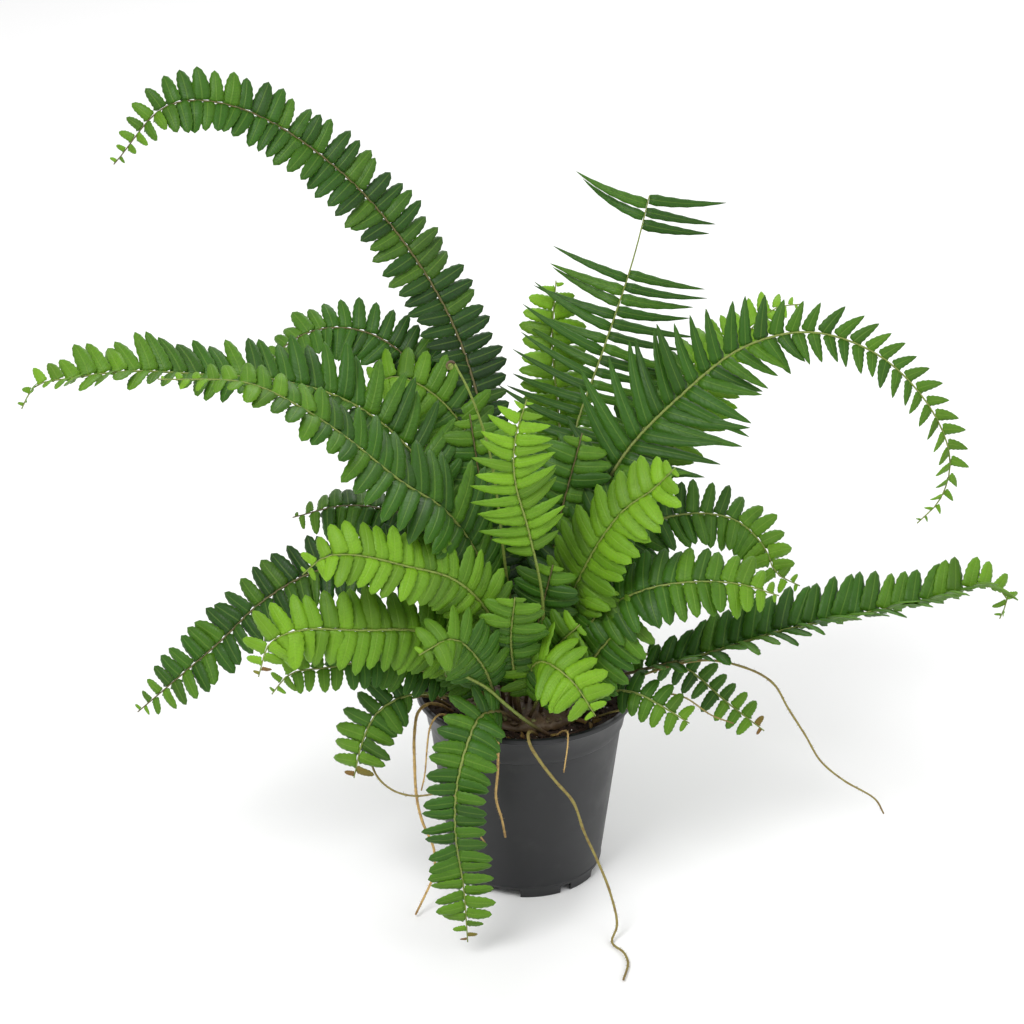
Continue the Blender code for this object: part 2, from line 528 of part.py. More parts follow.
class Frond:
    """A stalk with leaflets in pairs."""

    def __init__(self, name, tint, route, face_foot, face_tip, lengths, spacing, bare, lift, lean):
        self.name = name + "_frond"
        self.tint = tint
        self.stalk = Stalk(route, face_foot, face_tip, STALK_RADIUS, STALK_TIP_RADIUS)
        self.lengths = lengths
        self.spacing = spacing * MM
        self.bare = bare
        self.lift = lift
        self.lean = lean
        self.leaflets = []

    def pairs(self):
        """The shares of the stalk at which pairs of leaflets grow."""
        leafy = self.stalk.length * (1.0 - self.bare)
        count = max(3, round(leafy / self.spacing))
        shares = [self.bare + (1.0 - self.bare) * (k + 0.5) / count for k in range(count)]
        lost_from, lost_to = LOST_LEAFLETS.get(self.name, (1.0, 1.0))
        return [share for share in shares if not lost_from < share < lost_to]

    def leaflet_length(self, share):
        """Interpolated between the given lengths, and running out towards both ends."""
        leafy = (share - self.bare) / (1.0 - self.bare)
        place = leafy * (len(self.lengths) - 1)
        low = min(int(place), len(self.lengths) - 2)
        length = self.lengths[low] + (self.lengths[low + 1] - self.lengths[low]) * (place - low)
        fade = min(1.0, 0.55 + 3.0 * leafy) * min(1.0, (1.0 - leafy) / 0.16) ** 0.62
        return length * max(fade, 0.3) * MM

    def rings(self):
        """The shares at which the stalk has a section, with both ends of each leaflet's root."""
        half = LEAFLET_ROOT * MM / 2 / self.stalk.length
        bare_parts = max(2, round(self.bare * self.stalk.length / (26 * MM)))
        shares = [self.bare * i / bare_parts for i in range(bare_parts)]
        for share in self.pairs():
            shares += [share - half, share + half]
        return shares

    def stalk_tree(self):
        corners = []
        faces = []
        for share in self.rings() + [1.0]:
            corners += self.stalk.ring(share)
        for i in range(0, len(corners) - 4, 4):
            faces += [(i + k, i + (k + 1) % 4, i + 4 + (k + 1) % 4, i + 4 + k) for k in range(4)]
        return BVHTree.FromPolygons(corners, faces, all_triangles=False, epsilon=0.0)

    def place_leaflets(self, obstacles):
        """Try each leaflet in a few stances, and keep the first one that stands clear."""
        half = LEAFLET_ROOT * MM / 2 / self.stalk.length
        for share in self.pairs():
            for side in (-1, 1):
                found = self.clear_leaflet(share, half, side, obstacles)
                if found:
                    self.leaflets.append(found)

    def clear_leaflet(self, share, half, side, obstacles):
        full = self.leaflet_length(share)
        for size in SIZES_TRIED:
            for lift, lean in STANCES_TRIED:
                width = min(self.spacing * LEAFLET_WIDTH, 0.5 * full * size + 2 * MM)
                leaflet = Leaflet(self.stalk, share, half, side, full * size, width,
                                  self.lift + lift, self.lean + lean)
                probe = leaflet.probe(GAP * MM * 1.3)
                centre = leaflet.foot + leaflet.aim * (leaflet.length / 2)
                reach = leaflet.length * 0.6 + 2 * MM
                blocked = obstacles.touches(probe, centre, reach) or leaflet.lowest() < 0.8 * MM
                if not blocked:
                    obstacles.add(leaflet.probe(0.0), centre, reach)
                    return leaflet
        return None

    def build(self):
        bm = bmesh.new()
        rings = []
        for share in self.rings():
            rings.append([bm.verts.new(corner) for corner in self.stalk.ring(share)])
        rooted = {(round(leaflet.root[0], 6), leaflet.side): leaflet for leaflet in self.leaflets}
        shares = self.rings()
        bm.faces.new(rings[0])
        for share, ring, after in zip(shares, rings, rings[1:]):
            for k in range(4):
                side = {0: -1, 2: 1}.get(k)
                leaflet = rooted.get((round(share, 6), side))
                if leaflet:
                    m = (k + 1) % 4
                    top, low = (k, m) if side < 0 else (m, k)
                    leaflet.grow(bm, [ring[top], ring[low], after[low], after[top]])
                else:
                    m = (k + 1) % 4
                    bm.faces.new((ring[k], ring[m], after[m], after[k]))
        tip = bm.verts.new(self.stalk.point(1.0))
        for k in range(4):
            bm.faces.new((rings[-1][k], rings[-1][(k + 1) % 4], tip))
        add_object(self.name, bm, material(self.name + "_green", TINTS[self.tint], 0.5))


# ---- runners -----------------------------------------------------------------------------------
def runner_stalk(radius, route):
    tip_radius = radius * 0.7
    return Stalk(route, (0.3, -0.9, 0.3), (0.3, -0.9, 0.3), radius, tip_radius)


def runner_rings(stalk, spacing=9.0):
    parts = max(4, round(stalk.length / (spacing * MM)))
    return [stalk.ring(i / parts) for i in range(parts + 1)]


def build_runner(name, tint, stalk):
    bm = bmesh.new()
    rings = [[bm.verts.new(corner) for corner in ring] for ring in runner_rings(stalk)]
    bm.faces.new(rings[0])
    bm.faces.new(rings[-1])
    for ring, after in zip(rings, rings[1:]):
        for k in range(4):
            m = (k + 1) % 4
            bm.faces.new((ring[k], ring[m], after[m], after[k]))
    add_object(name, bm, material(name + "_skin", TINTS[tint], 0.7), sharp=100.0)


def runner_tree(stalk):
    corners = []
    faces = []
    for ring in runner_rings(stalk):
        corners += ring
    for i in range(0, len(corners) - 4, 4):
        faces += [(i + k, i + (k + 1) % 4, i + 4 + (k + 1) % 4, i + 4 + k) for k in range(4)]
    return BVHTree.FromPolygons(corners, faces, all_triangles=False, epsilon=0.0)


# ---- the plant ---------------------------------------------------------------------------------
def build():
    for old in list(bpy.data.objects):
        bpy.data.objects.remove(old)
    obstacles = Obstacles()
    build_pot(obstacles)
    build_soil(obstacles)
    build_rootstock(obstacles)
    fronds = [Frond(*row) for row in FRONDS]
    stalks = [(name, tint, runner_stalk(radius, route)) for name, tint, radius, route in RUNNERS]
    for _, _, stalk in stalks:
        obstacles.add(runner_tree(stalk))
    for frond in fronds:
        obstacles.add(frond.stalk_tree())
    for frond in fronds:
        frond.place_leaflets(obstacles)
    for frond in fronds:
        frond.build()
    for name, tint, stalk in stalks:
        build_runner(name, tint, stalk)


build()
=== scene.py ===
"""Add-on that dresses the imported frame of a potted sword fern.

It builds the pot, the soil, the rootstock, every frond with its leaflets, the runners and roots,
the litter on the soil and a plain studio stage.  Lengths are in metres unless a name ends in _mm.
"""
import math

import bpy
import numpy as np
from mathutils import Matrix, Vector, noise


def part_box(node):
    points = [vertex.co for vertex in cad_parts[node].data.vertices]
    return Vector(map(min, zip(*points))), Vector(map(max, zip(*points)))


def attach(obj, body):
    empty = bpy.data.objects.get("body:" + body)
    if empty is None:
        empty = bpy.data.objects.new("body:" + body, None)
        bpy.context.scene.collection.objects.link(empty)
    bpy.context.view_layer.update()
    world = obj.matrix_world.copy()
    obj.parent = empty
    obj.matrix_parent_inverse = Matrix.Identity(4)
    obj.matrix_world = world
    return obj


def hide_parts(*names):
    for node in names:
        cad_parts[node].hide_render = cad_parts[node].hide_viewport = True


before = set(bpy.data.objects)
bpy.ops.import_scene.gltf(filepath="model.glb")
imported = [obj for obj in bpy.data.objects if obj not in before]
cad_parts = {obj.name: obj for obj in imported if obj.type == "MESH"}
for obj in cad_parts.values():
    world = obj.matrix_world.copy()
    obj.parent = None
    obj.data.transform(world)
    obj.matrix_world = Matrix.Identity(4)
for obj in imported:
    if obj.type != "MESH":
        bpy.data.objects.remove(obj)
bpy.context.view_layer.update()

bl_info = {
    "name": "Potted Sword Fern",
    "version": (1, 0, 0),
    "blender": (4, 5, 0),
    "location": "View3D > Sidebar > Fern",
    "description": "Builds a sword fern in a nursery pot around its packed frame",
    "category": "Object",
}

MM = 0.001
SEED = 7
BODY = "root"
POT_HIGH = Vector(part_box("pot")[1])
POT_RADIUS_MM = POT_HIGH.x / MM
POT_HEIGHT_MM = POT_HIGH.z / MM
SOIL_TOP_MM = Vector(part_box("soil")[1]).z / MM
STOCK_TOP_MM = Vector(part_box("rootstock")[1]).z / MM
STALK_GAP_MM = 0.3            # a stalk's foot clears the rootstock by this
CURVE_STEPS = 160             # a stalk's curve is kept as this many even steps
PIECE_STEPS = 24              # and each piece between two corners starts as this many

# Each frond has a name, a tint, how pointed its leaflets are from 0 to 1, its route in mm, the way
# its face looks at the foot and at the tip, its leaflets' lengths in mm from foot to tip, their
# spacing in mm, the bare share of its stalk, and the lift and the lean of its leaflets in degrees.
# A route's first corner has no height, because it stands on the rootstock.
# A tint holds the leaflets' age and also painted light and shade: dark for old fronds and for those in
# the shade of the tuft, bright for young fronds and for well-lit ones.
FRONDS = (
    ("tall_arch", "dark", 0.2,
     ((-12, 12), (-12, 32, 170), (-22, 62, 236), (-45, 92, 297), (-96, 108, 364), (-154, 112, 403),
      (-192, 105, 407), (-222, 95, 377)),
     (0.75, -0.35, 0.45), (-0.3, -0.7, 0.5), (24, 24, 22, 20, 19, 18), 7.5, 0.27, 20, 4),
    ("upright_tall", "mid", 0.85,
     ((2, 10), (16, 36, 170), (26, 66, 228), (43, 92, 271), (59, 108, 317), (68, 117, 352)),
     (-0.1, -0.95, 0.3), (0, -0.8, 0.5), (40, 53, 53, 48, 44), 7, 0.34, -4, 2),
    ("right_arch", "mid", 0.7,
     ((14, 2), (28, 12, 180), (50, 28, 231), (85, 40, 267), (117, 46, 291), (152, 42, 301),
      (188, 30, 292), (215, 16, 267), (225, 6, 242), (220, 0, 222), (208, -4, 210)),
     (-0.62, -0.65, 0.25), (0.6, -0.5, 0.3), (46, 54, 50, 32, 20, 17, 16, 15, 14), 8.5, 0.22, 16, 22),
    ("left_wide", "mid", 0.2,
     ((-12, -8), (-22, -22, 190), (-42, -32, 230), (-65, -38, 250), (-93, -42, 277), (-115, -46, 295),
      (-141, -48, 309), (-186, -50, 312)),
     (0.25, -0.55, 0.75), (0, -0.1, 1), (30, 40, 40, 34, 24, 18, 16, 14), 8.5, 0.22, 16, 12),
    ("left_far", "mid", 0.3,
     ((-20, 1), (-36, 8, 190), (-60, 14, 242), (-93, 14, 272), (-129, 8, 287), (-170, 0, 294),
      (-206, -8, 299), (-234, -12, 297), (-254, -16, 294), (-261, -20, 283)),
     (0.1, -0.5, 0.85), (-0.3, -0.2, 0.9), (30, 34, 34, 30, 26, 26, 22, 16), 8, 0.27, 30, 16),
    ("back_left_arch", "dark", 0.15,
     ((-19, 16), (-30, 40, 165), (-44, 66, 238), (-63, 78, 269), (-84, 84, 283), (-107, 84, 287),
      (-126, 78, 283), (-142, 70, 271)),
     (0.3, -0.6, 0.7), (-0.5, -0.5, 0.6), (22, 22, 20, 18), 7, 0.37, 10, 10),
    ("centre_young", "bright", 0.6,
     ((4, -12), (9, -34, 175), (1, -44, 225), (-6, -50, 256), (-6, -52, 279), (0, -50, 301)),
     (0, -0.95, 0.3), (0, -0.9, 0.4), (24, 26, 21, 13), 6.5, 0.54, 6, 10),
    ("right_back_young", "bright", 0.5,
     ((20, 11), (50, 44, 165), (73, 66, 207), (91, 78, 232), (103, 84, 253), (121, 88, 281),
      (137, 88, 297), (150, 86, 300)),
     (-0.4, -0.7, 0.5), (-0.3, -0.5, 0.8), (16, 18, 22, 24, 20, 16), 7.5, 0.37, 14, 12),
    ("right_young", "bright", 0.15,
     ((17, -6), (21, -14, 157), (33, -24, 198), (51, -30, 230), (65, -32, 242), (77, -34, 256)),
     (-0.4, -0.7, 0.55), (-0.4, -0.6, 0.6), (28, 28, 24, 20), 7.5, 0.32, 14, 16),
    ("right_curl", "mid", 0.15,
     ((26, 4), (38, 20, 158), (61, 32, 189), (90, 38, 196), (115, 38, 192), (131, 32, 178),
      (137, 26, 166), (150, 22, 160)),
     (0, -0.3, 0.95), (0.3, -0.8, 0.4), (22, 22, 20, 18, 16), 7, 0.24, 8, 8),
    ("right_mid", "mid", 0.15,
     ((24, -5), (30, -20, 148), (44, -30, 173), (64, -38, 188), (87, -42, 194), (110, -44, 194),
      (132, -46, 188)),
     (0, -0.6, 0.8), (0, -0.6, 0.8), (24, 24, 22, 18), 7.5, 0.22, 10, 10),
    ("right_low", "mid", 0.15,
     ((31, -2), (44, -10, 119), (62, -16, 128), (94, -20, 139), (137, -20, 154), (179, -14, 161),
      (220, -6, 166), (247, 0, 171), (260, 2, 163), (257, 2, 150)),
     (-0.2, -0.3, 0.9), (0, -0.2, 0.95), (20, 24, 26, 26, 24, 20, 16), 8, 0.14, 50, 26),
    ("right_hang", "mid", 0.15,
     ((29, 10), (48, 14, 118), (68, 14, 122), (90, 10, 114), (110, 2, 99), (131, -6, 85)),
     (0, -0.7, 0.7), (0.2, -0.8, 0.5), (13, 13, 12), 7.5, 0.35, 4, 4),
    ("right_rim", "mid", 0.15,
     ((29, -12), (42, -24, 119), (58, -34, 124), (74, -42, 119), (87, -48, 113)),
     (0, -0.7, 0.7), (0.2, -0.8, 0.5), (15, 14, 12), 7.5, 0.4, 4, 4),
    ("front_right", "bright", 0.15,
     ((14, -19), (3, -42, 142), (10, -58, 155), (24, -72, 151), (36, -80, 135)),
     (0, -0.8, 0.6), (0, -0.8, 0.6), (24, 22, 18), 7, 0.24, 8, 10),
    ("front_low", "mid", 0.15,
     ((22, -18), (36, -34, 145), (60, -42, 179)),
     (-0.2, -0.8, 0.5), (-0.2, -0.8, 0.5), (24, 24, 20), 7.5, 0.2, 10, 6),
    ("front_hang", "mid", 0.15,
     ((-4, -31), (-16, -58, 126), (-25, -76, 131), (-31, -88, 122), (-36, -98, 104), (-37, -101, 77),
      (-33, -102, 45), (-31, -101, 10)),
     (-0.1, -0.8, 0.5), (0, -0.95, 0.3), (20, 19, 18, 18, 15), 7, 0.16, 16, 4),
    ("left_hang", "mid", 0.15,
     ((-24, -20), (-44, -34, 123), (-65, -42, 126), (-79, -47, 119), (-87, -51, 104), (-92, -54, 83)),
     (-0.1, -0.9, 0.4), (-0.2, -0.9, 0.3), (18, 18, 16), 7.5, 0.45, 6, 6),
    ("left_fan", "bright", 0.15,
     ((-12, -21), (-30, -42, 150), (-55, -58, 173), (-86, -68, 179), (-117, -72, 181),
      (-132, -74, 175), (-139, -74, 155)),
     (0.1, -0.8, 0.55), (0, -0.9, 0.4), (26, 26, 24, 20, 16), 7.5, 0.24, 4, 8),
    ("left_thin", "mid", 0.15,
     ((-20, -13), (-33, -30, 128), (-53, -44, 142), (-77, -52, 153), (-103, -56, 151),
      (-124, -56, 147), (-134, -56, 135)),
     (0, -0.8, 0.55), (0, -0.8, 0.55), (16, 16, 14, 12), 7, 0.24, 6, 4),
    ("left_bright", "bright", 0.15,
     ((-5, -18), (-18, -44, 173), (-37, -60, 204), (-62, -72, 218), (-87, -78, 227), (-102, -80, 227),
      (-114, -80, 217)),
     (0, -0.7, 0.7), (-0.1, -0.8, 0.6), (22, 22, 20, 16), 7, 0.3, 12, 14),
    ("left_dark", "dark", 0.15,
     ((-28, -5), (-34, -7, 160), (-53, -9, 187), (-83, -12, 192), (-115, -16, 186), (-141, -20, 171),
      (-163, -24, 150), (-183, -28, 133), (-209, -30, 110)),
     (0, -0.6, 0.8), (-0.3, -0.8, 0.5), (22, 22, 22, 20, 18, 18), 7.5, 0.22, 18, 8),
    ("left_back_dark", "dark", 0.15,
     ((-28, 8), (-32, 24, 156), (-49, 34, 188), (-74, 40, 197), (-99, 42, 199), (-128, 44, 191)),
     (0, -0.5, 0.85), (0, -0.5, 0.85), (22, 22, 18), 7.5, 0.27, -8, 6),
    ("back_left_green", "mid", 0.15,
     ((-8, 22), (-18, 46, 185), (-31, 54, 235), (-52, 58, 260), (-71, 60, 268), (-89, 60, 259)),
     (0, -0.8, 0.6), (0, -0.8, 0.6), (24, 24, 20), 7.5, 0.42, 6, 6),
    ("back_yellow", "bright", 0.15,
     ((6, 22), (12, 66, 157), (19, 92, 216), (15, 112, 268), (17, 120, 301)),
     (0.1, -0.9, 0.4), (0.1, -0.9, 0.4), (26, 24, 20, 18), 7.5, 0.45, 6, 6),
    ("back_right_green", "mid", 0.15,
     ((14, 18), (37, 50, 166), (62, 80, 222), (96, 100, 261), (119, 106, 277)),
     (-0.4, -0.8, 0.4), (-0.4, -0.8, 0.4), (30, 26, 20), 8, 0.42, 10, 10),
    ("front_left_low", "mid", 0.15,
     ((-13, -29), (-24, -62, 157), (-39, -80, 180), (-55, -90, 176)),
     (0, -0.8, 0.6), (0, -0.8, 0.6), (20, 20, 16), 7, 0.3, 8, 8),
    ("front_centre", "mid", 0.15,
     ((-3, -24), (-8, -54, 165), (-6, -68, 198)),
     (0, -0.9, 0.4), (0, -0.9, 0.4), (22, 20, 18), 7, 0.3, 8, 8),
    ("back_low_left", "dark", 0.15,
     ((-13, 30), (-28, 72, 160), (-50, 104, 175), (-72, 118, 152)),
     (0, 0.3, 0.95), (-0.3, 0.7, 0.6), (24, 24, 20), 8, 0.3, 8, 8),
    ("back_low_middle", "dark", 0.15,
     ((0, 32), (-4, 78, 165), (0, 108, 176), (6, 124, 152)),
     (0, 0.3, 0.95), (0, 0.8, 0.6), (24, 24, 20), 8, 0.3, 8, 8),
    ("back_low_right", "mid", 0.15,
     ((15, 29), (36, 76, 158), (58, 102, 172), (84, 112, 152)),
     (0, 0.3, 0.95), (0.3, 0.7, 0.6), (24, 24, 20), 8, 0.3, 8, 8),
    ("inner_left", "dark", 0.15,
     ((-6, 2), (-14, 8, 170), (-32, 24, 225), (-58, 36, 240)),
     (0.2, -0.7, 0.6), (0.1, -0.7, 0.6), (26, 26, 22), 8, 0.35, 8, 8),
    ("inner_right", "dark", 0.15,
     ((9, -3), (18, 0, 160), (38, 6, 205), (66, 10, 222)),
     (-0.2, -0.7, 0.6), (-0.1, -0.7, 0.6), (26, 26, 22), 8, 0.3, 8, 8),
)

# The short fronds inside the tuft all face the front: name, tint, route, lengths, spacing, bare share.
INNER_FACE = (0, -0.8, 0.6)
INNER_POINTED = 0.15
INNER_LIFT, INNER_LEAN = 8, 8
# Their dark and mid tints are partly painted shade, for these fronds lie deep in the tuft.
INNER_FRONDS = (
    ("inner_front_right", "mid", ((8, -20), (14, -38, 150), (28, -48, 172)), (20, 20, 16), 7, 0.25),
    ("inner_front_left", "dark", ((-8, -16), (-12, -34, 150), (-24, -42, 182)), (20, 20, 16), 7, 0.25),
    ("inner_front_middle", "dark", ((0, -10), (6, -28, 160), (14, -34, 200)), (22, 22, 18), 7, 0.25),
    ("inner_side_right", "mid", ((18, -10), (30, -26, 150), (44, -32, 186)), (22, 22, 16), 7, 0.25),
    ("inner_side_left", "dark", ((-16, -8), (-28, -24, 160), (-46, -30, 205)), (22, 22, 18), 7, 0.25),
    ("inner_low_front", "mid", ((2, -26), (12, -50, 138), (26, -60, 154)), (18, 17, 14), 7, 0.3),
    ("inner_low_left", "mid", ((-18, -18), (-32, -36, 140), (-52, -44, 160)), (20, 18, 14), 7, 0.3),
    ("inner_back_left", "dark", ((-10, 8), (-20, 14, 190), (-30, 22, 262)), (26, 26, 20), 8, 0.3),
    ("inner_back_right", "dark", ((8, 6), (16, 16, 190), (30, 24, 250)), (26, 26, 20), 8, 0.3),
)

# Each runner, root or young stalk has a name, a tint, a radius in mm and its route in mm.
RUNNERS = (
    ("runner_front", "olive", .9,
     ((6, -41, 102), (3, -50, 109), (1, -58, 112), (2, -64, 109), (8, -66, 99), (16, -67, 88),
      (25, -67, 76), (31, -68, 58), (38, -70, 42), (45, -73, 24), (49, -80, 7), (46, -88, 1.5),
      (52, -98, 1.5), (54, -108, 1.5), (51, -124, 1.5))),
    ("runner_right", "olive", .75,
     ((41, 1, 101.5), (60, -4, 117), (97, -14, 133), (122, -18, 129), (134, -19, 121),
      (142, -20, 107), (152, -22, 91), (161, -22, 75), (174, -22, 63), (192, -22, 51),
      (197, -22, 42))),
    ("runner_left", "tan", .95,
     ((-40, -14, 101.5), (-47, -20, 109), (-53, -25, 112), (-58, -30, 110), (-60, -36, 100),
      (-60, -41, 85), (-59, -44, 65), (-56, -46, 51), (-50, -49, 36), (-50, -52, 22),
      (-56, -56, 8), (-60, -62, 2))),
    ("runner_loop", "olive", .75,
     ((-41, -8, 101.2), (-50, -14, 110), (-58, -20, 114), (-80, -33, 110), (-84, -42, 93), (-80, -50, 82),
      (-71, -57, 77), (-60, -61, 76), (-51, -63, 78), (-43, -64, 80))),
    ("root_left", "tan", .6,
     ((-33, -24, 101.5), (-42, -32, 109), (-47, -37, 112), (-51, -41, 108), (-53, -48, 97),
      (-54, -54, 86), (-56, -57, 77))),
    ("root_middle", "tan", .9,
     ((-13, -40, 102), (-14, -50, 109), (-15, -57, 112), (-15, -62, 108), (-15, -64, 94),
      (-16, -65, 77), (-13, -66, 65), (-11, -67, 54))),
    ("root_low", "tan", .7,
     ((-28, -36, 101.5), (-32, -42, 109), (-36, -47, 112), (-39, -52, 107), (-40, -57, 97),
      (-39, -61, 80), (-33, -64, 65), (-27, -66, 58), (-22, -66, 50))),
    ("rootlet", "tan", .5,
     ((16, -41, 101.5), (20, -49, 109), (22, -55, 111.5), (22, -60, 107), (20, -62, 91))),
    ("runner_rim", "olive", .6,
     ((36, -22, 101.2), (45, -29, 109), (51, -33, 113), (62, -36, 119), (72, -34, 123), (84, -33, 121),
      (100, -32, 109), (112, -30, 103))),
    ("young_stalk", "bright", .9,
     ((0, 3), (-10, -12, 180), (-19, -21, 258), (-29, -24, 293), (-37, -24, 310))),
    ("unfurling_stalk", "bright", 1.1,
     ((12, -41, 102), (2, -50, 114), (-10, -56, 128), (-21, -60, 141), (-31, -65, 150),
      (-39, -69, 157))),
)


# ---- settings a user would change ---------------------------------------------------------------
def hex_color(code):
    """An sRGB hex colour as linear red, green, blue and alpha."""
    parts = [int(code[i:i + 2], 16) / 255 for i in (1, 3, 5)]
    linear = [v / 12.92 if v <= 0.04045 else ((v + 0.055) / 1.055) ** 2.4 for v in parts]
    return (*linear, 1.0)


def color_prop(name, description, code):
    return bpy.props.FloatVectorProperty(
        name=name, description=description, subtype="COLOR", size=4, min=0, max=1,
        default=hex_color(code))


def length_prop(name, description, millimetres):
    return bpy.props.FloatProperty(
        name=name, description=description, unit="LENGTH", default=millimetres * MM)


class FernPotSettings(bpy.types.PropertyGroup):
    wall: length_prop("Wall", "Thickness of the pot's wall", 1.2)
    base_radius: length_prop("Base radius", "Outside radius of the foot ring", 41.5)
    collar_height: length_prop("Collar height", "Height at which the flared collar starts", 91)
    collar_radius: length_prop("Collar radius", "Outside radius where the collar starts", 54)
    plastic: color_prop("Plastic", "Colour of the moulded pot", "#18191b")


class FernSoilSettings(bpy.types.PropertyGroup):
    crumb: length_prop("Crumb", "Middle size of the soil's crumbs", 1.9)
    peat: color_prop("Peat", "Moist peat", "#2b1d14")
    peat_dry: color_prop("Dry peat", "Drier crumbs on top", "#513826")
    perlite: color_prop("Perlite", "White grains", "#e9e6dd")


class FernLeafSettings(bpy.types.PropertyGroup):
    thickness: length_prop("Thickness", "Thickness of a leaflet", 0.3)
    # dark stands for the oldest leaves and for painted shade, bright for the youngest leaves and for
    # painted light
    dark: color_prop("Dark leaf", "Oldest leaves and painted shade", "#1a3611")
    mid: color_prop("Leaf", "Full grown leaves", "#315c0d")
    bright: color_prop("Bright leaf", "Youngest leaves and painted light", "#77a51c")
    withered: color_prop("Withered", "Dead tips", "#7a5a2c")
    stalk_foot: color_prop("Stalk foot", "Brown scaly foot of a stalk", "#54402a")
    stalk_tip: color_prop("Stalk", "Green upper stalk", "#7d8f3c")


class FernRootSettings(bpy.types.PropertyGroup):
    hair: length_prop("Hair", "Length of the hairs on runners and roots", 1.6)
    olive: color_prop("Runner", "Wiry runners", "#8d8245")
    tan: color_prop("Root", "Pale young roots", "#c9a866")
    brown: color_prop("Runner end", "Old brown ends", "#6b4a2a")


# ---- routes ------------------------------------------------------------------------------------
def curve_piece(corners, steps):
    """Points on the centripetal Catmull-Rom curve between the two middle corners of four."""
    p0, p1, p2, p3 = corners
    t0 = 0.0
    t1 = t0 + math.sqrt(np.linalg.norm(p1 - p0))
    t2 = t1 + math.sqrt(np.linalg.norm(p2 - p1))
    t3 = t2 + math.sqrt(np.linalg.norm(p3 - p2))
    t = np.linspace(t1, t2, steps, endpoint=False)[:, None]
    a1 = (p0 * (t1 - t) + p1 * (t - t0)) / (t1 - t0)
    a2 = (p1 * (t2 - t) + p2 * (t - t1)) / (t2 - t1)
    a3 = (p2 * (t3 - t) + p3 * (t - t2)) / (t3 - t2)
    b1 = (a1 * (t2 - t) + a2 * (t - t0)) / (t2 - t0)
    b2 = (a2 * (t3 - t) + a3 * (t - t1)) / (t3 - t1)
    return (b1 * (t2 - t) + b2 * (t - t1)) / (t2 - t1)


def unit(v):
    return v / np.linalg.norm(v, axis=-1, keepdims=True)


class Stalk:
    """A smooth route with its tangent, upper side and width direction at every share of it."""

    def __init__(self, route, face_foot, face_tip):
        points = []
        for corner in route:
            height = corner[2] if len(corner) == 3 else STOCK_TOP_MM + STALK_GAP_MM
            points.append(np.array((corner[0], corner[1], height)) * MM)
        ends = [2 * points[0] - points[1]] + points + [2 * points[-1] - points[-2]]
        dense = [curve_piece(ends[i:i + 4], PIECE_STEPS) for i in range(len(ends) - 3)]
        dense = np.vstack(dense + [points[-1][None]])
        steps = np.linalg.norm(np.diff(dense, axis=0), axis=1)
        travelled = np.concatenate([[0.0], np.cumsum(steps)])
        self.length = travelled[-1]
        wanted = np.linspace(0, self.length, CURVE_STEPS + 1)
        self.line = np.stack([np.interp(wanted, travelled, dense[:, k]) for k in range(3)], 1)
        self.face_foot = unit(np.array(face_foot, float))
        self.face_tip = unit(np.array(face_tip, float))

    def point(self, share):
        place = np.clip(share, 0.0, 1.0) * CURVE_STEPS
        return np.array([np.interp(place, np.arange(CURVE_STEPS + 1), self.line[:, k]) for k in range(3)])

    def axes(self, share):
        step = 1.5 / CURVE_STEPS
        along = unit(self.point(share + step) - self.point(share - step))
        face = self.face_foot + (self.face_tip - self.face_foot) * share
        up = unit(face - along * face.dot(along))
        return along, up, np.cross(along, up)


# ---- modelling helpers -------------------------------------------------------------------------
def deselect_all():
    if bpy.context.object and bpy.context.object.mode != "OBJECT":
        bpy.ops.object.mode_set(mode="OBJECT")
    bpy.ops.object.select_all(action="DESELECT")


def make_active(piece):
    deselect_all()
    piece.select_set(True)
    bpy.context.view_layer.objects.active = piece


def apply_all(piece):
    """Apply every modifier of a piece, in order."""
    make_active(piece)
    for modifier in list(piece.modifiers):
        bpy.ops.object.modifier_apply(modifier=modifier.name)


def mesh_piece(name, verts, faces, smooth=True):
    """One object at the origin from vertices and faces, with its place in its mesh."""
    mesh = bpy.data.meshes.new(name)
    mesh.from_pydata([tuple(v) for v in verts], [], faces)
    mesh.validate()
    mesh.polygons.foreach_set("use_smooth", [smooth] * len(mesh.polygons))
    mesh.update()
    piece = bpy.data.objects.new(name, mesh)
    bpy.context.scene.collection.objects.link(piece)
    return piece


def add_numbers(piece, name, values):
    """A number for each vertex, which a material reads as an attribute."""
    layer = piece.data.attributes.new(name, "FLOAT", "POINT")
    layer.data.foreach_set("value", np.asarray(values, dtype=np.float32))


def settle(piece, slot_name, *nodes):
    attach(piece, BODY)
    if nodes:
        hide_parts(*nodes)


def turned(name, profile, sides):
    """Turn a closed vessel: a filled disc whose rim is extruded from ring to ring, then closed."""
    deselect_all()
    radius, height = profile[0]
    bpy.ops.mesh.primitive_circle_add(
        vertices=sides, radius=radius * MM, fill_type="NGON", location=(0, 0, 0))
    piece = bpy.context.object
    piece.name = name
    piece.data.name = name
    bpy.ops.object.mode_set(mode="EDIT")
    bpy.ops.mesh.select_all(action="SELECT")
    bpy.ops.transform.translate(value=(0, 0, height * MM))
    bpy.ops.mesh.select_mode(type="EDGE")
    for next_radius, next_height in profile[1:]:
        bpy.ops.mesh.extrude_edges_move(
            TRANSFORM_OT_translate={"value": (0, 0, (next_height - height) * MM)})
        ratio = next_radius / radius
        bpy.ops.transform.resize(value=(ratio, ratio, 1), center_override=(0, 0, 0))
        radius, height = next_radius, next_height
    bpy.ops.mesh.edge_face_add()
    bpy.ops.mesh.select_all(action="SELECT")
    bpy.ops.mesh.normals_make_consistent(inside=False)
    bpy.ops.object.mode_set(mode="OBJECT")
    return piece


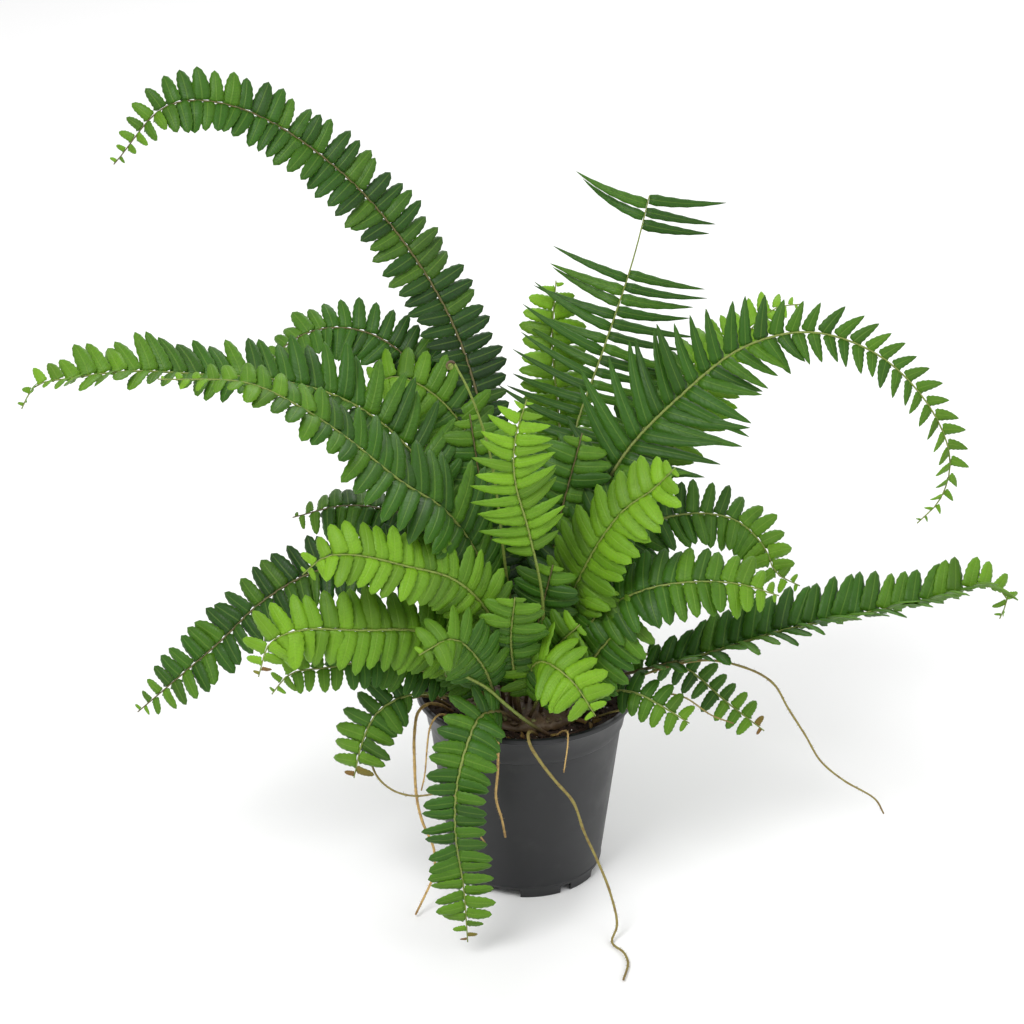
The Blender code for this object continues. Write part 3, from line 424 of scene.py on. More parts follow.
def tube(path, radii, sides, up_hint=(0.2, -0.9, 0.35)):
    """Vertices, faces and share along of a closed tube over a path."""
    count = len(path)
    along = unit(np.gradient(path, axis=0))
    hint = np.array(up_hint, float)
    hint = np.where(np.abs(along @ unit(hint))[:, None] > 0.97, np.array([1.0, 0, 0]), hint)
    up = unit(hint - along * np.sum(hint * along, axis=1, keepdims=True))
    side = np.cross(along, up)
    angles = np.arange(sides) * math.tau / sides
    rings = (path[:, None] + (up[:, None] * np.cos(angles)[None, :, None]
             + side[:, None] * np.sin(angles)[None, :, None]) * np.asarray(radii)[:, None, None])
    verts = rings.reshape(-1, 3)
    faces = [tuple(range(sides))]
    for i in range(count - 1):
        for k in range(sides):
            m = (k + 1) % sides
            faces.append((i * sides + k, (i + 1) * sides + k, (i + 1) * sides + m, i * sides + m))
    last = (count - 1) * sides
    faces.append(tuple(last + k for k in reversed(range(sides))))
    return verts, faces, np.repeat(np.linspace(0, 1, count), sides)


class Heap:
    """Gathers shapes that become one mesh, with numbers for each vertex."""

    def __init__(self, *channels):
        self.verts = []
        self.faces = []
        self.slots = []
        self.count = 0
        self.numbers = {channel: [] for channel in channels}

    def add(self, verts, faces, slot=0, **values):
        self.faces += [tuple(i + self.count for i in face) for face in faces]
        self.slots += [slot] * len(faces)
        self.verts.append(verts)
        self.count += len(verts)
        for channel, store in self.numbers.items():
            store.append(np.broadcast_to(np.asarray(values.get(channel, 0.0), float), len(verts)))

    def piece(self, name, *materials):
        made = mesh_piece(name, np.vstack(self.verts), self.faces)
        for finish in materials:
            made.data.materials.append(finish)
        made.data.polygons.foreach_set("material_index", self.slots)
        for channel, store in self.numbers.items():
            add_numbers(made, channel, np.concatenate(store))
        return made


# ---- materials ---------------------------------------------------------------------------------
COLOR_MIX = {"data_type": "RGBA"}
SMOOTH = {"interpolation_type": "SMOOTHSTEP"}


def new_material(name):
    made = bpy.data.materials.new(name)
    made.use_nodes = True
    return made, made.node_tree.nodes["Principled BSDF"]


def connect(made, target, **links):
    """Link or set a node's inputs, named with underscores for spaces or by number after one."""
    for key, value in links.items():
        socket = target.inputs[int(key[1:]) if key[0] == "_" else key.replace("_", " ")]
        if isinstance(value, bpy.types.NodeSocket):
            made.node_tree.links.new(value, socket)
        else:
            socket.default_value = value


def add_node(made, kind, settings=None, output=0, **links):
    """Add a node with its settings and links, and give the wanted output."""
    added = made.node_tree.nodes.new("ShaderNode" + kind)
    for key, value in (settings or {}).items():
        setattr(added, key, value)
    connect(made, added, **links)
    return added.outputs[output]


def attributes(made, *names):
    """The numbers that a piece carries on its vertices, as outputs."""
    return [add_node(made, "Attribute", {"attribute_name": name}, "Fac") for name in names]


def grain(made, size_mm, detail=3.0, roughness=0.6):
    """Noise over the object whose blobs are about as big as given."""
    place = add_node(made, "TexCoord", output="Object")
    return add_node(made, "TexNoise", output="Fac", Vector=place, Scale=1 / (size_mm * MM),
                    Detail=detail, Roughness=roughness)


def layered(made, shade, *layers):
    """Lay colours over a shade, each by a share that follows a value between two limits."""
    for color, value, low, high, share_low, share_high in layers:
        share = add_node(made, "MapRange", SMOOTH, Value=value, From_Min=low, From_Max=high,
                         To_Min=share_low, To_Max=share_high)
        shade = add_node(made, "Mix", COLOR_MIX, 2, _0=share, _6=shade, _7=color)
    return shade


def leaf_material():
    """Fern leaflet: a leathery cuticle, which gives a satin sheen over pressed-in side veins."""
    s = bpy.context.scene.fern_leaves
    made, shader = new_material("fern_leaflet_cuticle")
    across, along, tone, youth, withered = attributes(made, "across", "along", "tone", "youth",
                                                      "withered")
    blotch = grain(made, 5.0)
    # dark, mid and bright green by age and by painted light and shade
    shade = layered(made, s.dark[:], (s.mid[:], youth, 0.0, 0.5, 0.0, 1.0),
                    (s.bright[:], youth, 0.45, 1.0, 0.0, 1.0))
    lighter = add_node(made, "Mix", COLOR_MIX, 2, _0=0.35, _6=shade, _7=s.bright[:])
    darker = add_node(made, "Mix", COLOR_MIX, 2, _0=0.45, _6=shade, _7=hex_color("#12260a"))
    width = add_node(made, "Math", {"operation": "ABSOLUTE"}, _0=across)
    # side veins leave the midrib at a slant, eleven to a leaflet
    straight = add_node(made, "Math", {"operation": "MULTIPLY"}, _0=along, _1=11.0)
    slant = add_node(made, "Math", {"operation": "MULTIPLY_ADD"}, _0=width, _1=-1.1, _2=straight)
    wave = add_node(made, "Math", {"operation": "MULTIPLY"}, _0=slant, _1=math.pi)
    ripple = add_node(made, "Math", {"operation": "SINE"}, _0=wave)
    vein = add_node(made, "Math", {"operation": "ABSOLUTE"}, _0=ripple)
    # the side-vein grooves are painted darker: painted shade in the pressed-in veins
    shade = layered(made, shade, (lighter, tone, 0.55, 1.0, 0.0, 0.6),
                    (darker, tone, 0.45, 0.0, 0.0, 0.8), (darker, blotch, 0.45, 0.75, 0.0, 0.35),
                    (darker, vein, 0.0, 0.35, 0.35, 0.0),
                    (hex_color("#8fae45"), width, 0.02, 0.13, 0.175, 0.0),
                    (lighter, width, 0.8, 1.0, 0.0, 0.3))
    shade = add_node(made, "Mix", COLOR_MIX, 2, _0=withered, _6=shade, _7=s.withered[:])
    rough = add_node(made, "MapRange", SMOOTH, Value=blotch, From_Min=0.3, From_Max=0.7, To_Min=0.42,
                     To_Max=0.56)
    veins = add_node(made, "MapRange", SMOOTH, Value=vein, From_Min=0.0, From_Max=0.35, To_Min=-0.6,
                     To_Max=0.0)
    midrib = add_node(made, "MapRange", SMOOTH, Value=width, From_Min=0.02, From_Max=0.13,
                      To_Min=-1.0, To_Max=0.0)
    pressed = add_node(made, "Math", {"operation": "ADD"}, _0=veins, _1=midrib)
    height = add_node(made, "Math", {"operation": "MULTIPLY_ADD"}, _0=grain(made, 0.8), _1=0.3,
                      _2=pressed)
    relief = add_node(made, "Bump", Height=height, Strength=0.5, Distance=0.25 * MM)
    connect(made, shader, Base_Color=shade, Subsurface_Weight=0.12,
            Subsurface_Radius=(0.6, 1.0, 0.2), Subsurface_Scale=1.2 * MM, IOR=1.45,
            Specular_IOR_Level=0.32, Roughness=rough, Normal=relief)
    return made


def stalk_material():
    """Fern stalk: smooth and green above, brown and scurfy with papery scales below."""
    s = bpy.context.scene.fern_leaves
    made, shader = new_material("fern_stalk_scurf")
    along, youth = attributes(made, "along", "youth")
    scurf = grain(made, 1.1, 4.0)
    # the brown foot colour spreads further on old and shaded fronds, partly as painted shade
    shade = layered(made, s.stalk_foot[:], (s.stalk_tip[:], along, 0.05, 0.45, 0.0, 1.0),
                    (s.stalk_foot[:], youth, 0.5, 0.0, 0.0, 0.8),
                    (hex_color("#3b2a18"), scurf, 0.5, 0.7, 0.0, 0.6))
    relief = add_node(made, "Bump", Height=scurf, Strength=0.5, Distance=0.3 * MM)
    connect(made, shader, Base_Color=shade, Roughness=0.55, Normal=relief)
    return made


def runner_material(name, color):
    """Wiry runner or root: dull bark-like skin with darker joints and a browner end."""
    brown = bpy.context.scene.fern_roots.brown[:]
    made, shader = new_material(name)
    along, = attributes(made, "along")
    streak = grain(made, 2.5, 4.0)
    shade = layered(made, color[:], (brown, streak, 0.4, 0.7, 0.0, 0.6),
                    (brown, along, 0.0, 0.12, 0.8, 0.0), (brown, along, 0.9, 1.0, 0.0, 0.5))
    relief = add_node(made, "Bump", Height=streak, Strength=0.5, Distance=0.3 * MM)
    connect(made, shader, Base_Color=shade, Roughness=0.75, Normal=relief)
    return made


def plastic_material():
    """Moulded polypropylene: satin black with faint flow marks and a little dust."""
    plastic = bpy.context.scene.fern_pot.plastic[:]
    made, shader = new_material("moulded_polypropylene")
    cloud = grain(made, 22.0, 4.0)
    fine = grain(made, 0.7, 2.0)
    shade = layered(made, plastic, (hex_color("#5a5a58"), cloud, 0.5, 0.8, 0.0, 0.125))
    rough = add_node(made, "MapRange", SMOOTH, Value=cloud, From_Min=0.3, From_Max=0.7, To_Min=0.36,
                     To_Max=0.5)
    height = add_node(made, "Math", {"operation": "MULTIPLY_ADD"}, _0=fine, _1=0.4, _2=cloud)
    relief = add_node(made, "Bump", Height=height, Strength=0.12, Distance=0.3 * MM)
    connect(made, shader, Base_Color=shade, Roughness=rough, IOR=1.49, Normal=relief)
    return made


def soil_material():
    """Moist peat: nearly black crumbs with lighter dry ones and small fibres."""
    s = bpy.context.scene.fern_soil
    made, shader = new_material("moist_peat")
    tone, = attributes(made, "tone")
    crumbs = grain(made, 2.2, 6.0, 0.7)
    shade = layered(made, s.peat[:], (s.peat_dry[:], crumbs, 0.45, 0.7, 0.0, 1.0))
    shade = add_node(made, "Mix", COLOR_MIX, 2, _0=tone, _6=shade, _7=s.peat_dry[:])
    relief = add_node(made, "Bump", Height=crumbs, Strength=0.9, Distance=1.2 * MM)
    connect(made, shader, Base_Color=shade, Roughness=0.92, Normal=relief)
    return made


def perlite_material():
    """Perlite: chalky white expanded glass full of small pits."""
    s = bpy.context.scene.fern_soil
    made, shader = new_material("expanded_perlite")
    pits = grain(made, 0.6, 4.0)
    # the pits are painted a darker grey: painted shade in the hollows of each grain
    shade = layered(made, hex_color("#b9b2a3"), (s.perlite[:], pits, 0.3, 0.6, 0.0, 1.0))
    relief = add_node(made, "Bump", Height=pits, Strength=0.8, Distance=0.3 * MM)
    connect(made, shader, Base_Color=shade, Roughness=0.85, Normal=relief)
    return made


# ---- pot ---------------------------------------------------------------------------------------
FLOOR_Z_MM = 5.5
NOTCH_HEIGHT_MM = 4.6
WIDE_NOTCH = 25.0
NARROW_NOTCH = 9.0
WIDE_NOTCH_AT = (-106.5, -16.5, 73.5, 163.5)
NARROW_NOTCH_AT = (-58.0, 32.0, 122.0, 212.0)
DRAIN_RADIUS_MM = 4.0
DRAIN_RING_MM = 27.0
STEP_MM = 1.2
POT_SIDES = 160
SHARP_ANGLE = 32.0            # edges that turn more than this stay sharp


def pot_profile():
    """The pot's outline in mm, from the middle of its underside over the lip to its floor."""
    s = bpy.context.scene.fern_pot
    wall = s.wall / MM
    base = s.base_radius / MM
    collar_z = s.collar_height / MM
    collar = s.collar_radius / MM
    rim = POT_RADIUS_MM
    top = POT_HEIGHT_MM
    lip = top - 3.0

    def taper(z):
        return base + (collar - STEP_MM - base) * z / collar_z

    def flare(z):
        return collar + (rim - 1.3 - collar) * ((z - collar_z) / (lip - collar_z)) ** 1.6

    outside = [(4.0, FLOOR_Z_MM), (base - wall - 1.0, FLOOR_Z_MM), (base - wall, FLOOR_Z_MM - 0.6),
               (base - wall, 0.3), (base - wall + 0.3, 0.0), (base - 0.3, 0.0), (base, 0.3),
               (taper(5.6), 5.6), (taper(6.0) + 0.25, 6.0), (taper(6.7) + 0.25, 6.7),
               (taper(7.1), 7.1)]
    outside += [(taper(z), z) for z in (25, 45, 65, collar_z - 2.0, collar_z - 0.8)]
    outside += [(collar - 0.4, collar_z - 0.2), (collar, collar_z + 0.4)]
    outside += [(flare(z), z) for z in (94, 97, 100, 103, lip - 0.4)]
    outside += [(rim - 0.4, lip - 0.1), (rim, lip + 0.4), (rim, top - 0.9), (rim - 0.3, top - 0.3),
                (rim - 0.9, top), (flare(lip) - wall + 0.4, top), (flare(lip) - wall, top - 0.4)]
    inside = [(flare(z) - wall, z) for z in (lip - 1.0, 103, 100, 97, 94, collar_z)]
    inside += [(taper(z) - wall, z) for z in (collar_z - 2.5, 60, 30, FLOOR_Z_MM + 3.0)]
    inside += [(base - wall - 1.4, FLOOR_Z_MM + wall), (4.0, FLOOR_Z_MM + wall)]
    return outside + inside


def cut_away(piece, make_cutter, turns):
    """Cut one shape out of a piece, once at each turn about Z."""
    for turn in turns:
        deselect_all()
        make_cutter(math.radians(turn))
        cutter = bpy.context.object
        make_active(cutter)
        bpy.ops.object.transform_apply(location=True, rotation=True, scale=True)
        cut = piece.modifiers.new("cut", "BOOLEAN")
        cut.operation = "DIFFERENCE"
        cut.object = cutter
        apply_all(piece)
        bpy.data.objects.remove(cutter)


def notch_cutter(width_degrees):
    base = bpy.context.scene.fern_pot.base_radius
    chord = 2 * base * math.sin(math.radians(width_degrees / 2))

    def make(turn):
        bpy.ops.mesh.primitive_cube_add(size=1, rotation=(0, 0, turn),
                                        location=(base * math.cos(turn), base * math.sin(turn), 0))
        bpy.context.object.scale = (10 * MM, chord, 2 * NOTCH_HEIGHT_MM * MM)

    return make


def drain_cutter(turn):
    ring = DRAIN_RING_MM * MM
    bpy.ops.mesh.primitive_cylinder_add(
        vertices=32, radius=DRAIN_RADIUS_MM * MM, depth=8 * MM,
        location=(ring * math.cos(turn), ring * math.sin(turn), FLOOR_Z_MM * MM))


class FERN_OT_pot(bpy.types.Operator):
    """Build the nursery pot with its rolled lip, flared collar and notched foot ring"""
    bl_idname = "fern.pot"
    bl_label = "Nursery Pot"

    def execute(self, context):
        pot = turned("nursery_pot", pot_profile(), POT_SIDES)
        cut_away(pot, notch_cutter(WIDE_NOTCH), WIDE_NOTCH_AT)
        cut_away(pot, notch_cutter(NARROW_NOTCH), NARROW_NOTCH_AT)
        cut_away(pot, drain_cutter, WIDE_NOTCH_AT)
        make_active(pot)
        bpy.ops.object.shade_smooth_by_angle(angle=math.radians(SHARP_ANGLE))
        pot.data.materials.clear()
        pot.data.materials.append(plastic_material())
        settle(pot, "pot_plastic", "pot")
        return {"FINISHED"}


# ---- soil and rootstock ------------------------------------------------------------------------
SOIL_RADIUS_MM = 53.6
SOIL_RINGS = 40
SOIL_SIDES = 120
SOIL_WALL_MM = ((51.0, 88.0), (39.0, 8.0))   # radius and height of the rings below the top
CRUMB_COUNT = 520
CRUMB_REACH_MM = 52.5
FIBRE_COUNT = 150
FIBRE_RADIUS_MM = 0.16
GRAIN_COUNT = 46
BIG_GRAIN = (50.5, math.radians(-66), 1.9)    # radius of its place in mm, its angle and its size in mm
SCALE_COUNT = 420
SCALE_REACH_MM = 33.0
STOCK_SIDES = 96


def crumb_shape(rng, size, ball):
    """A lump: a small ico sphere pushed in and out."""
    points, faces = ball
    lump = points * (size * (1 + rng.uniform(-0.35, 0.35, len(points)))[:, None])
    return lump * rng.uniform(0.6, 1.2, 3), faces


def ico_points():
    """The points and faces of a small ico sphere."""
    deselect_all()
    bpy.ops.mesh.primitive_ico_sphere_add(subdivisions=1, radius=1)
    ball = bpy.context.object
    points = np.array([v.co[:] for v in ball.data.vertices])
    faces = [tuple(p.vertices) for p in ball.data.polygons]
    bpy.data.objects.remove(ball)
    return points, faces


def soil_height(x, y):
    """Top of the soil in mm: lumpy, and a little lower towards the wall."""
    lump = noise.fractal(Vector((x, y, 3.0)) * 0.16, 0.9, 2.0, 5)
    fall = 2.0 * max(0.0, (math.hypot(x, y) - 44) / 10) ** 2
    return SOIL_TOP_MM - 1.0 - fall + 1.5 * lump


def soil_body():
    """Vertices in mm and faces of the closed soil: rings of its lumpy top, its wall and its base."""
    sides = SOIL_SIDES
    top = [(0.0, 0.0, soil_height(0.0, 0.0))]
    for i in range(1, SOIL_RINGS + 1):
        r = SOIL_RADIUS_MM * i / SOIL_RINGS
        for k in range(sides):
            x = r * math.cos(math.tau * k / sides)
            y = r * math.sin(math.tau * k / sides)
            top.append((x, y, soil_height(x, y)))
    angles = np.arange(sides) * math.tau / sides
    rings = [np.array(top)]
    for r, z in SOIL_WALL_MM:
        rings.append(np.stack([r * np.cos(angles), r * np.sin(angles), 0 * angles + z], 1))
    faces = [(0, 1 + k, 1 + (k + 1) % sides) for k in range(sides)]
    for i in range(SOIL_RINGS - 1 + len(SOIL_WALL_MM)):
        a = 1 + i * sides
        b = a + sides
        faces += [(a + k, b + k, b + (k + 1) % sides, a + (k + 1) % sides) for k in range(sides)]
    last = 1 + (SOIL_RINGS - 1 + len(SOIL_WALL_MM)) * sides
    faces.append(tuple(last + k for k in reversed(range(sides))))
    return np.vstack(rings), faces


class FERN_OT_soil(bpy.types.Operator):
    """Build the peat with its crumbs, fibres and white grains"""
    bl_idname = "fern.soil"
    bl_label = "Soil"

    def execute(self, context):
        rng = np.random.default_rng(SEED)
        verts, faces = soil_body()
        body = Heap("tone")
        body.add(verts * MM, faces)
        soil = body.piece("peat_body", soil_material())
        settle(soil, "potting_soil", "soil")
        ball = ico_points()
        loose = Heap("tone")
        self.crumbs(loose, rng, ball, context.scene.fern_soil.crumb / MM)
        self.fibres(loose, rng)
        settle(loose.piece("peat_crumbs", soil.data.materials[0]), "potting_soil")
        self.grains(rng, ball)
        return {"FINISHED"}

    def crumbs(self, heap, rng, ball, size):
        for _ in range(CRUMB_COUNT):
            r = CRUMB_REACH_MM * math.sqrt(rng.uniform(0.35, 1.0))
            a = rng.uniform(0, math.tau)
            x, y = r * math.cos(a), r * math.sin(a)
            lump, faces = crumb_shape(rng, size * rng.uniform(0.3, 1.0), ball)
            place = np.array((x, y, soil_height(x, y) + 0.3))
            heap.add((lump + place) * MM, faces, tone=rng.uniform(0, 0.6) ** 2)

    def fibres(self, heap, rng):
        """Thin bowed fibres that lie on the soil and stay inside the wall."""
        for _ in range(FIBRE_COUNT):
            r = rng.uniform(38, 52)
            a = rng.uniform(0, math.tau)
            turn = rng.uniform(0, math.tau)
            reach = rng.uniform(3, 9)
            steps = np.linspace(-1, 1, 6)
            x = r * math.cos(a) + steps * reach * math.cos(turn) / 2
            y = r * math.sin(a) + steps * reach * math.sin(turn) / 2
            inward = np.minimum(1, 53 / np.hypot(x, y))
            x, y = x * inward, y * inward
            z = np.array([soil_height(*p) for p in zip(x, y)]) + 0.9 + 0.6 * (1 - steps ** 2)
            path = np.stack([x, y, z], 1) * MM
            verts, faces, _ = tube(path, np.full(6, FIBRE_RADIUS_MM * MM), 4)
            heap.add(verts, faces, tone=rng.uniform(0.5, 1.0))

    def grains(self, rng, ball):
        heap = Heap()
        spots = [(rng.uniform(38, 52), rng.uniform(0, math.tau), rng.uniform(0.35, 0.8))
                 for _ in range(GRAIN_COUNT)]
        for r, a, size in spots + [BIG_GRAIN]:
            x, y = r * math.cos(a), r * math.sin(a)
            lump, faces = crumb_shape(rng, size, ball)
            heap.add((lump + np.array((x, y, soil_height(x, y) + 0.8))) * MM, faces)
        settle(heap.piece("perlite_grains", perlite_material()), "potting_soil")


class FERN_OT_rootstock(bpy.types.Operator):
    """Build the scaly woody mound that the stalks rise from"""
    bl_idname = "fern.rootstock"
    bl_label = "Rootstock"

    def execute(self, context):
        rng = np.random.default_rng(SEED + 1)
        heap = Heap("along", "youth")
        foot = SOIL_TOP_MM - 0.5
        profile = [(2.0, foot), (34.0, foot), (35.5, foot + 1.5), (32.0, STOCK_TOP_MM - 1.0),
                   (20.0, STOCK_TOP_MM), (2.0, STOCK_TOP_MM)]
        mound = turned("mound", profile, STOCK_SIDES)
        points = np.array([v.co[:] for v in mound.data.vertices])
        lumps = np.array([noise.noise(Vector(p) * 240) for p in points])
        points *= (1 + 0.03 * lumps)[:, None]
        heap.add(points, [tuple(p.vertices) for p in mound.data.polygons], along=0.1, youth=0.2)
        bpy.data.objects.remove(mound)
        ball = ico_points()
        for _ in range(SCALE_COUNT):
            r = SCALE_REACH_MM * math.sqrt(rng.uniform(0, 1))
            a = rng.uniform(0, math.tau)
            lump, faces = crumb_shape(rng, rng.uniform(1.0, 2.6), ball)
            lump[:, 2] *= 0.5
            place = np.array((r * math.cos(a), r * math.sin(a), STOCK_TOP_MM - 0.9))
            heap.add((lump + place) * MM, faces, along=rng.uniform(0, 0.3),
                     youth=rng.uniform(0, 0.5))
        settle(heap.piece("woody_rootstock", stalk_material()), "rootstock_fibre", "rootstock")
        return {"FINISHED"}


# ---- fronds ------------------------------------------------------------------------------------
ALONG_STEPS = 10
ACROSS_STEPS = 4
BLANK_THICKNESS = 0.1
FOOT_OFF_STALK_MM = 0.4
TOOTH_OUT, TOOTH_IN = 1.07, 0.95              # every other row of a leaflet's margin stands out
LOBE_AT, LOBE_LENGTH, LOBE_REACH = 0.1, 0.07, 0.3    # the lobe on one side of a leaflet's foot
STALK_RADIUS_MM, STALK_TAPER_MM = 1.15, 0.8
SHORTFALL = 0.96                              # a leaflet is this much of its listed length
# how young and how lit the leaflets of a tint are at a frond's foot and at its tip: age and painted light
# and shade in one value
TINT_AGE_AND_LIGHT = {"dark": (0.05, 0.75), "mid": (0.38, 0.85), "bright": (0.68, 1.0)}
TINT_SLOTS = {"dark": "leaf_dark", "mid": "leaf_green", "bright": "leaf_young"}
# the share at the end of a frond where its leaflets are withered
WITHERED_TIPS = {"left_hang": 0.05, "right_hang": 0.05, "front_hang": 0.03, "left_fan": 0.03}
# the stretch of a frond that has lost its leaflets, while those past it are full grown
LOST_LEAFLETS = {"upright_tall": (0.855, 0.935)}


def leaf_blank():
    """One flat leaflet, 1 long and 1 wide, as a closed sheet: a grid given thickness."""
    deselect_all()
    bpy.ops.mesh.primitive_grid_add(x_subdivisions=ALONG_STEPS, y_subdivisions=ACROSS_STEPS, size=1)
    blank = bpy.context.object
    bpy.ops.object.mode_set(mode="EDIT")
    bpy.ops.mesh.select_all(action="SELECT")
    bpy.ops.transform.translate(value=(0.5, 0, 0))
    bpy.ops.object.mode_set(mode="OBJECT")
    make_active(blank)
    bpy.ops.object.transform_apply(location=True)
    thick = blank.modifiers.new("thickness", "SOLIDIFY")
    thick.thickness = BLANK_THICKNESS
    thick.offset = 0.0
    apply_all(blank)
    points = np.array([v.co[:] for v in blank.data.vertices])
    faces = [tuple(p.vertices) for p in blank.data.polygons]
    bpy.data.objects.remove(blank)
    return points, faces


def outline(along, pointed):
    """Half width of a leaflet at each share of its length, as a share of its widest."""
    power = 3.6 - 2.5 * pointed
    body = np.minimum(1.0, 0.85 + 2.0 * along)
    return np.maximum(0.03, body * (1 - along ** power) ** (0.5 + 0.35 * pointed))


class LeafStance:
    """How one leaflet sits on its stalk: its foot, its aim, its breadth and its upper side."""

    def __init__(self, stalk, share, side, lift, lean, roll):
        along, up, across = stalk.axes(share)
        out = across * side
        rise, slant, turn = (math.radians(v) for v in (lift, lean, roll))
        self.aim = unit((out * math.cos(rise) + up * math.sin(rise)) * math.cos(slant)
                        + along * math.sin(slant))
        top = up * math.cos(rise) - out * math.sin(rise)
        breadth = unit(np.cross(top, self.aim))
        if breadth.dot(along) < 0:
            breadth = -breadth
        top = np.cross(self.aim, breadth)
        if top.dot(up) < 0:
            top = -top
        self.breadth = breadth * math.cos(turn) + top * math.sin(turn)
        self.top = top * math.cos(turn) - breadth * math.sin(turn)
        self.foot = stalk.point(share) + out * FOOT_OFF_STALK_MM * MM


def add_leaflet(heap, blank, stance, length, width, pointed, rng, **values):
    """Bend a copy of the blank into a leaflet and add it to the heap."""
    points, faces = blank
    along = points[:, 0]
    across = points[:, 1] * 2
    # the outline, with its teeth and the lobe at its foot
    half = outline(along, pointed) * width / 2
    row = np.round(along * ALONG_STEPS)
    tooth = np.where(row % 2 == 1, TOOTH_OUT, TOOTH_IN)
    half = half * np.where(np.abs(across) > 0.9, tooth, 1.0)
    lobe = np.exp(-((along - LOBE_AT) / LOBE_LENGTH) ** 2) * LOBE_REACH * (across > 0.9)
    half = half * (1 + lobe * (1 - pointed))
    # the bends: tip down, tip forwards, a twist, a wavy margin and a raised half on each side
    droop = rng.uniform(0.15, 0.45) * (1 - 0.55 * pointed)
    sickle = rng.uniform(0.04, 0.12) * (1 + pointed)
    twist = rng.uniform(-0.25, 0.25) * along
    wave = 0.05 * np.sin(along * rng.uniform(7, 11) + rng.uniform(0, 6)) * np.abs(across)
    pillow = 0.13 * (1 - (np.abs(np.abs(across) - 0.5) * 2) ** 2) - 0.16 * across ** 2
    x = along * length * (1 - 0.12 * droop)
    y = across * half + sickle * length * along ** 2
    z = (pillow + wave) * half - droop * length * along ** 2
    thickness = bpy.context.scene.fern_leaves.thickness
    z = z + points[:, 2] / (BLANK_THICKNESS / 2) * thickness / 2
    y, z = y * np.cos(twist) - z * np.sin(twist) * 0.3, z + y * np.sin(twist)
    verts = (stance.foot + x[:, None] * stance.aim + y[:, None] * stance.breadth
             + z[:, None] * stance.top)
    if np.linalg.det(np.stack([stance.aim, stance.breadth, stance.top])) < 0:
        faces = [tuple(reversed(face)) for face in faces]
    heap.add(verts, faces, along=along, across=across, **values)


def leaf_length(lengths, leafy, full_tip):
    """Length of the leaflet at a share of the leafy stretch, shorter towards both its ends."""
    base = np.interp(leafy, np.linspace(0, 1, len(lengths)), lengths)
    fade = min(1.0, 0.55 + 3.0 * leafy)
    if not full_tip:
        fade *= min(1.0, (1.0 - leafy) / 0.16) ** 0.62
    return base * max(fade, 0.25) * MM


def inner_row(name, tint, route, lengths, spacing, bare):
    """The whole row of a frond from the short row of an inner one."""
    return (name, tint, INNER_POINTED, route, INNER_FACE, INNER_FACE, lengths, spacing, bare,
            INNER_LIFT, INNER_LEAN)


def build_frond(row, blank, finishes, rng, *nodes):
    """Build a stalk with its two rows of leaflets as one piece that stands for the nodes."""
    name, tint, pointed, route, face_foot, face_tip, lengths, spacing, bare, lift, lean = row
    stalk = Stalk(route, face_foot, face_tip)
    heap = Heap("along", "across", "tone", "youth", "withered")
    lost_from, lost_to = LOST_LEAFLETS.get(name, (1.0, 1.0))
    full_tip = name in LOST_LEAFLETS
    foot_age_and_light, tip_age_and_light = TINT_AGE_AND_LIGHT[tint]
    if full_tip:
        tip_age_and_light = foot_age_and_light
    withered_from = 1.0 - WITHERED_TIPS.get(name, 0.0)
    count = max(4, round(stalk.length * (1 - bare) / (spacing * MM)))
    for k in range(count):
        for side in (-1, 1):
            leafy = (k + (0.3 if side < 0 else 0.7)) / count
            share = bare + (1 - bare) * leafy
            if lost_from < share < lost_to:
                continue
            length = leaf_length(lengths, leafy, full_tip) * SHORTFALL * rng.uniform(0.88, 1.04)
            width = min(spacing * MM * rng.uniform(1.1, 1.4), 0.56 * length) * (1.0 - 0.35 * pointed)
            stance = LeafStance(stalk, share, side, lift + rng.uniform(-9, 9),
                                lean + rng.uniform(-6, 6), rng.uniform(4, 22) * -1)
            # age and painted shade together: darker at the foot deep in the tuft, brighter towards the
            # tip
            youth = foot_age_and_light + (tip_age_and_light - foot_age_and_light) * share ** 3 + rng.uniform(-0.06, 0.06)
            withered = float(share > withered_from) * rng.uniform(0.6, 1.0)
            add_leaflet(heap, blank, stance, length, width, pointed, rng,
                        tone=rng.uniform(0, 1), youth=youth, withered=withered)
    shares = np.linspace(0, 1, max(16, int(stalk.length / (6 * MM))))
    path = np.array([stalk.point(share) for share in shares])
    radii = (STALK_RADIUS_MM - STALK_TAPER_MM * shares) * MM
    verts, faces, along = tube(path, radii, 7)
    heap.add(verts, faces, slot=1, along=along, youth=foot_age_and_light)
    settle(heap.piece(name + "_leaf", *finishes), TINT_SLOTS[tint], *nodes)


class FERN_OT_fronds(bpy.types.Operator):
    """Build every frond: a scurfy stalk with its two rows of leaflets"""
    bl_idname = "fern.fronds"
    bl_label = "Fronds"

    def execute(self, context):
        blank = leaf_blank()
        finishes = (leaf_material(), stalk_material())
        rows = [(row, row[0] + "_frond") for row in FRONDS]
        rows += [(inner_row(*row),) for row in INNER_FRONDS]
        for index, (row, *nodes) in enumerate(rows):
            build_frond(row, blank, finishes, np.random.default_rng(SEED + 10 + index), *nodes)
        return {"FINISHED"}


# ---- runners and roots -------------------------------------------------------------------------
HAIRS_PER_MM = 1.5
HAIR_RADIUS_MM = 0.09
BUD_RADIUS_MM = 2.6
BUD_TURNS = 2.3
BUD_STEPS = 40


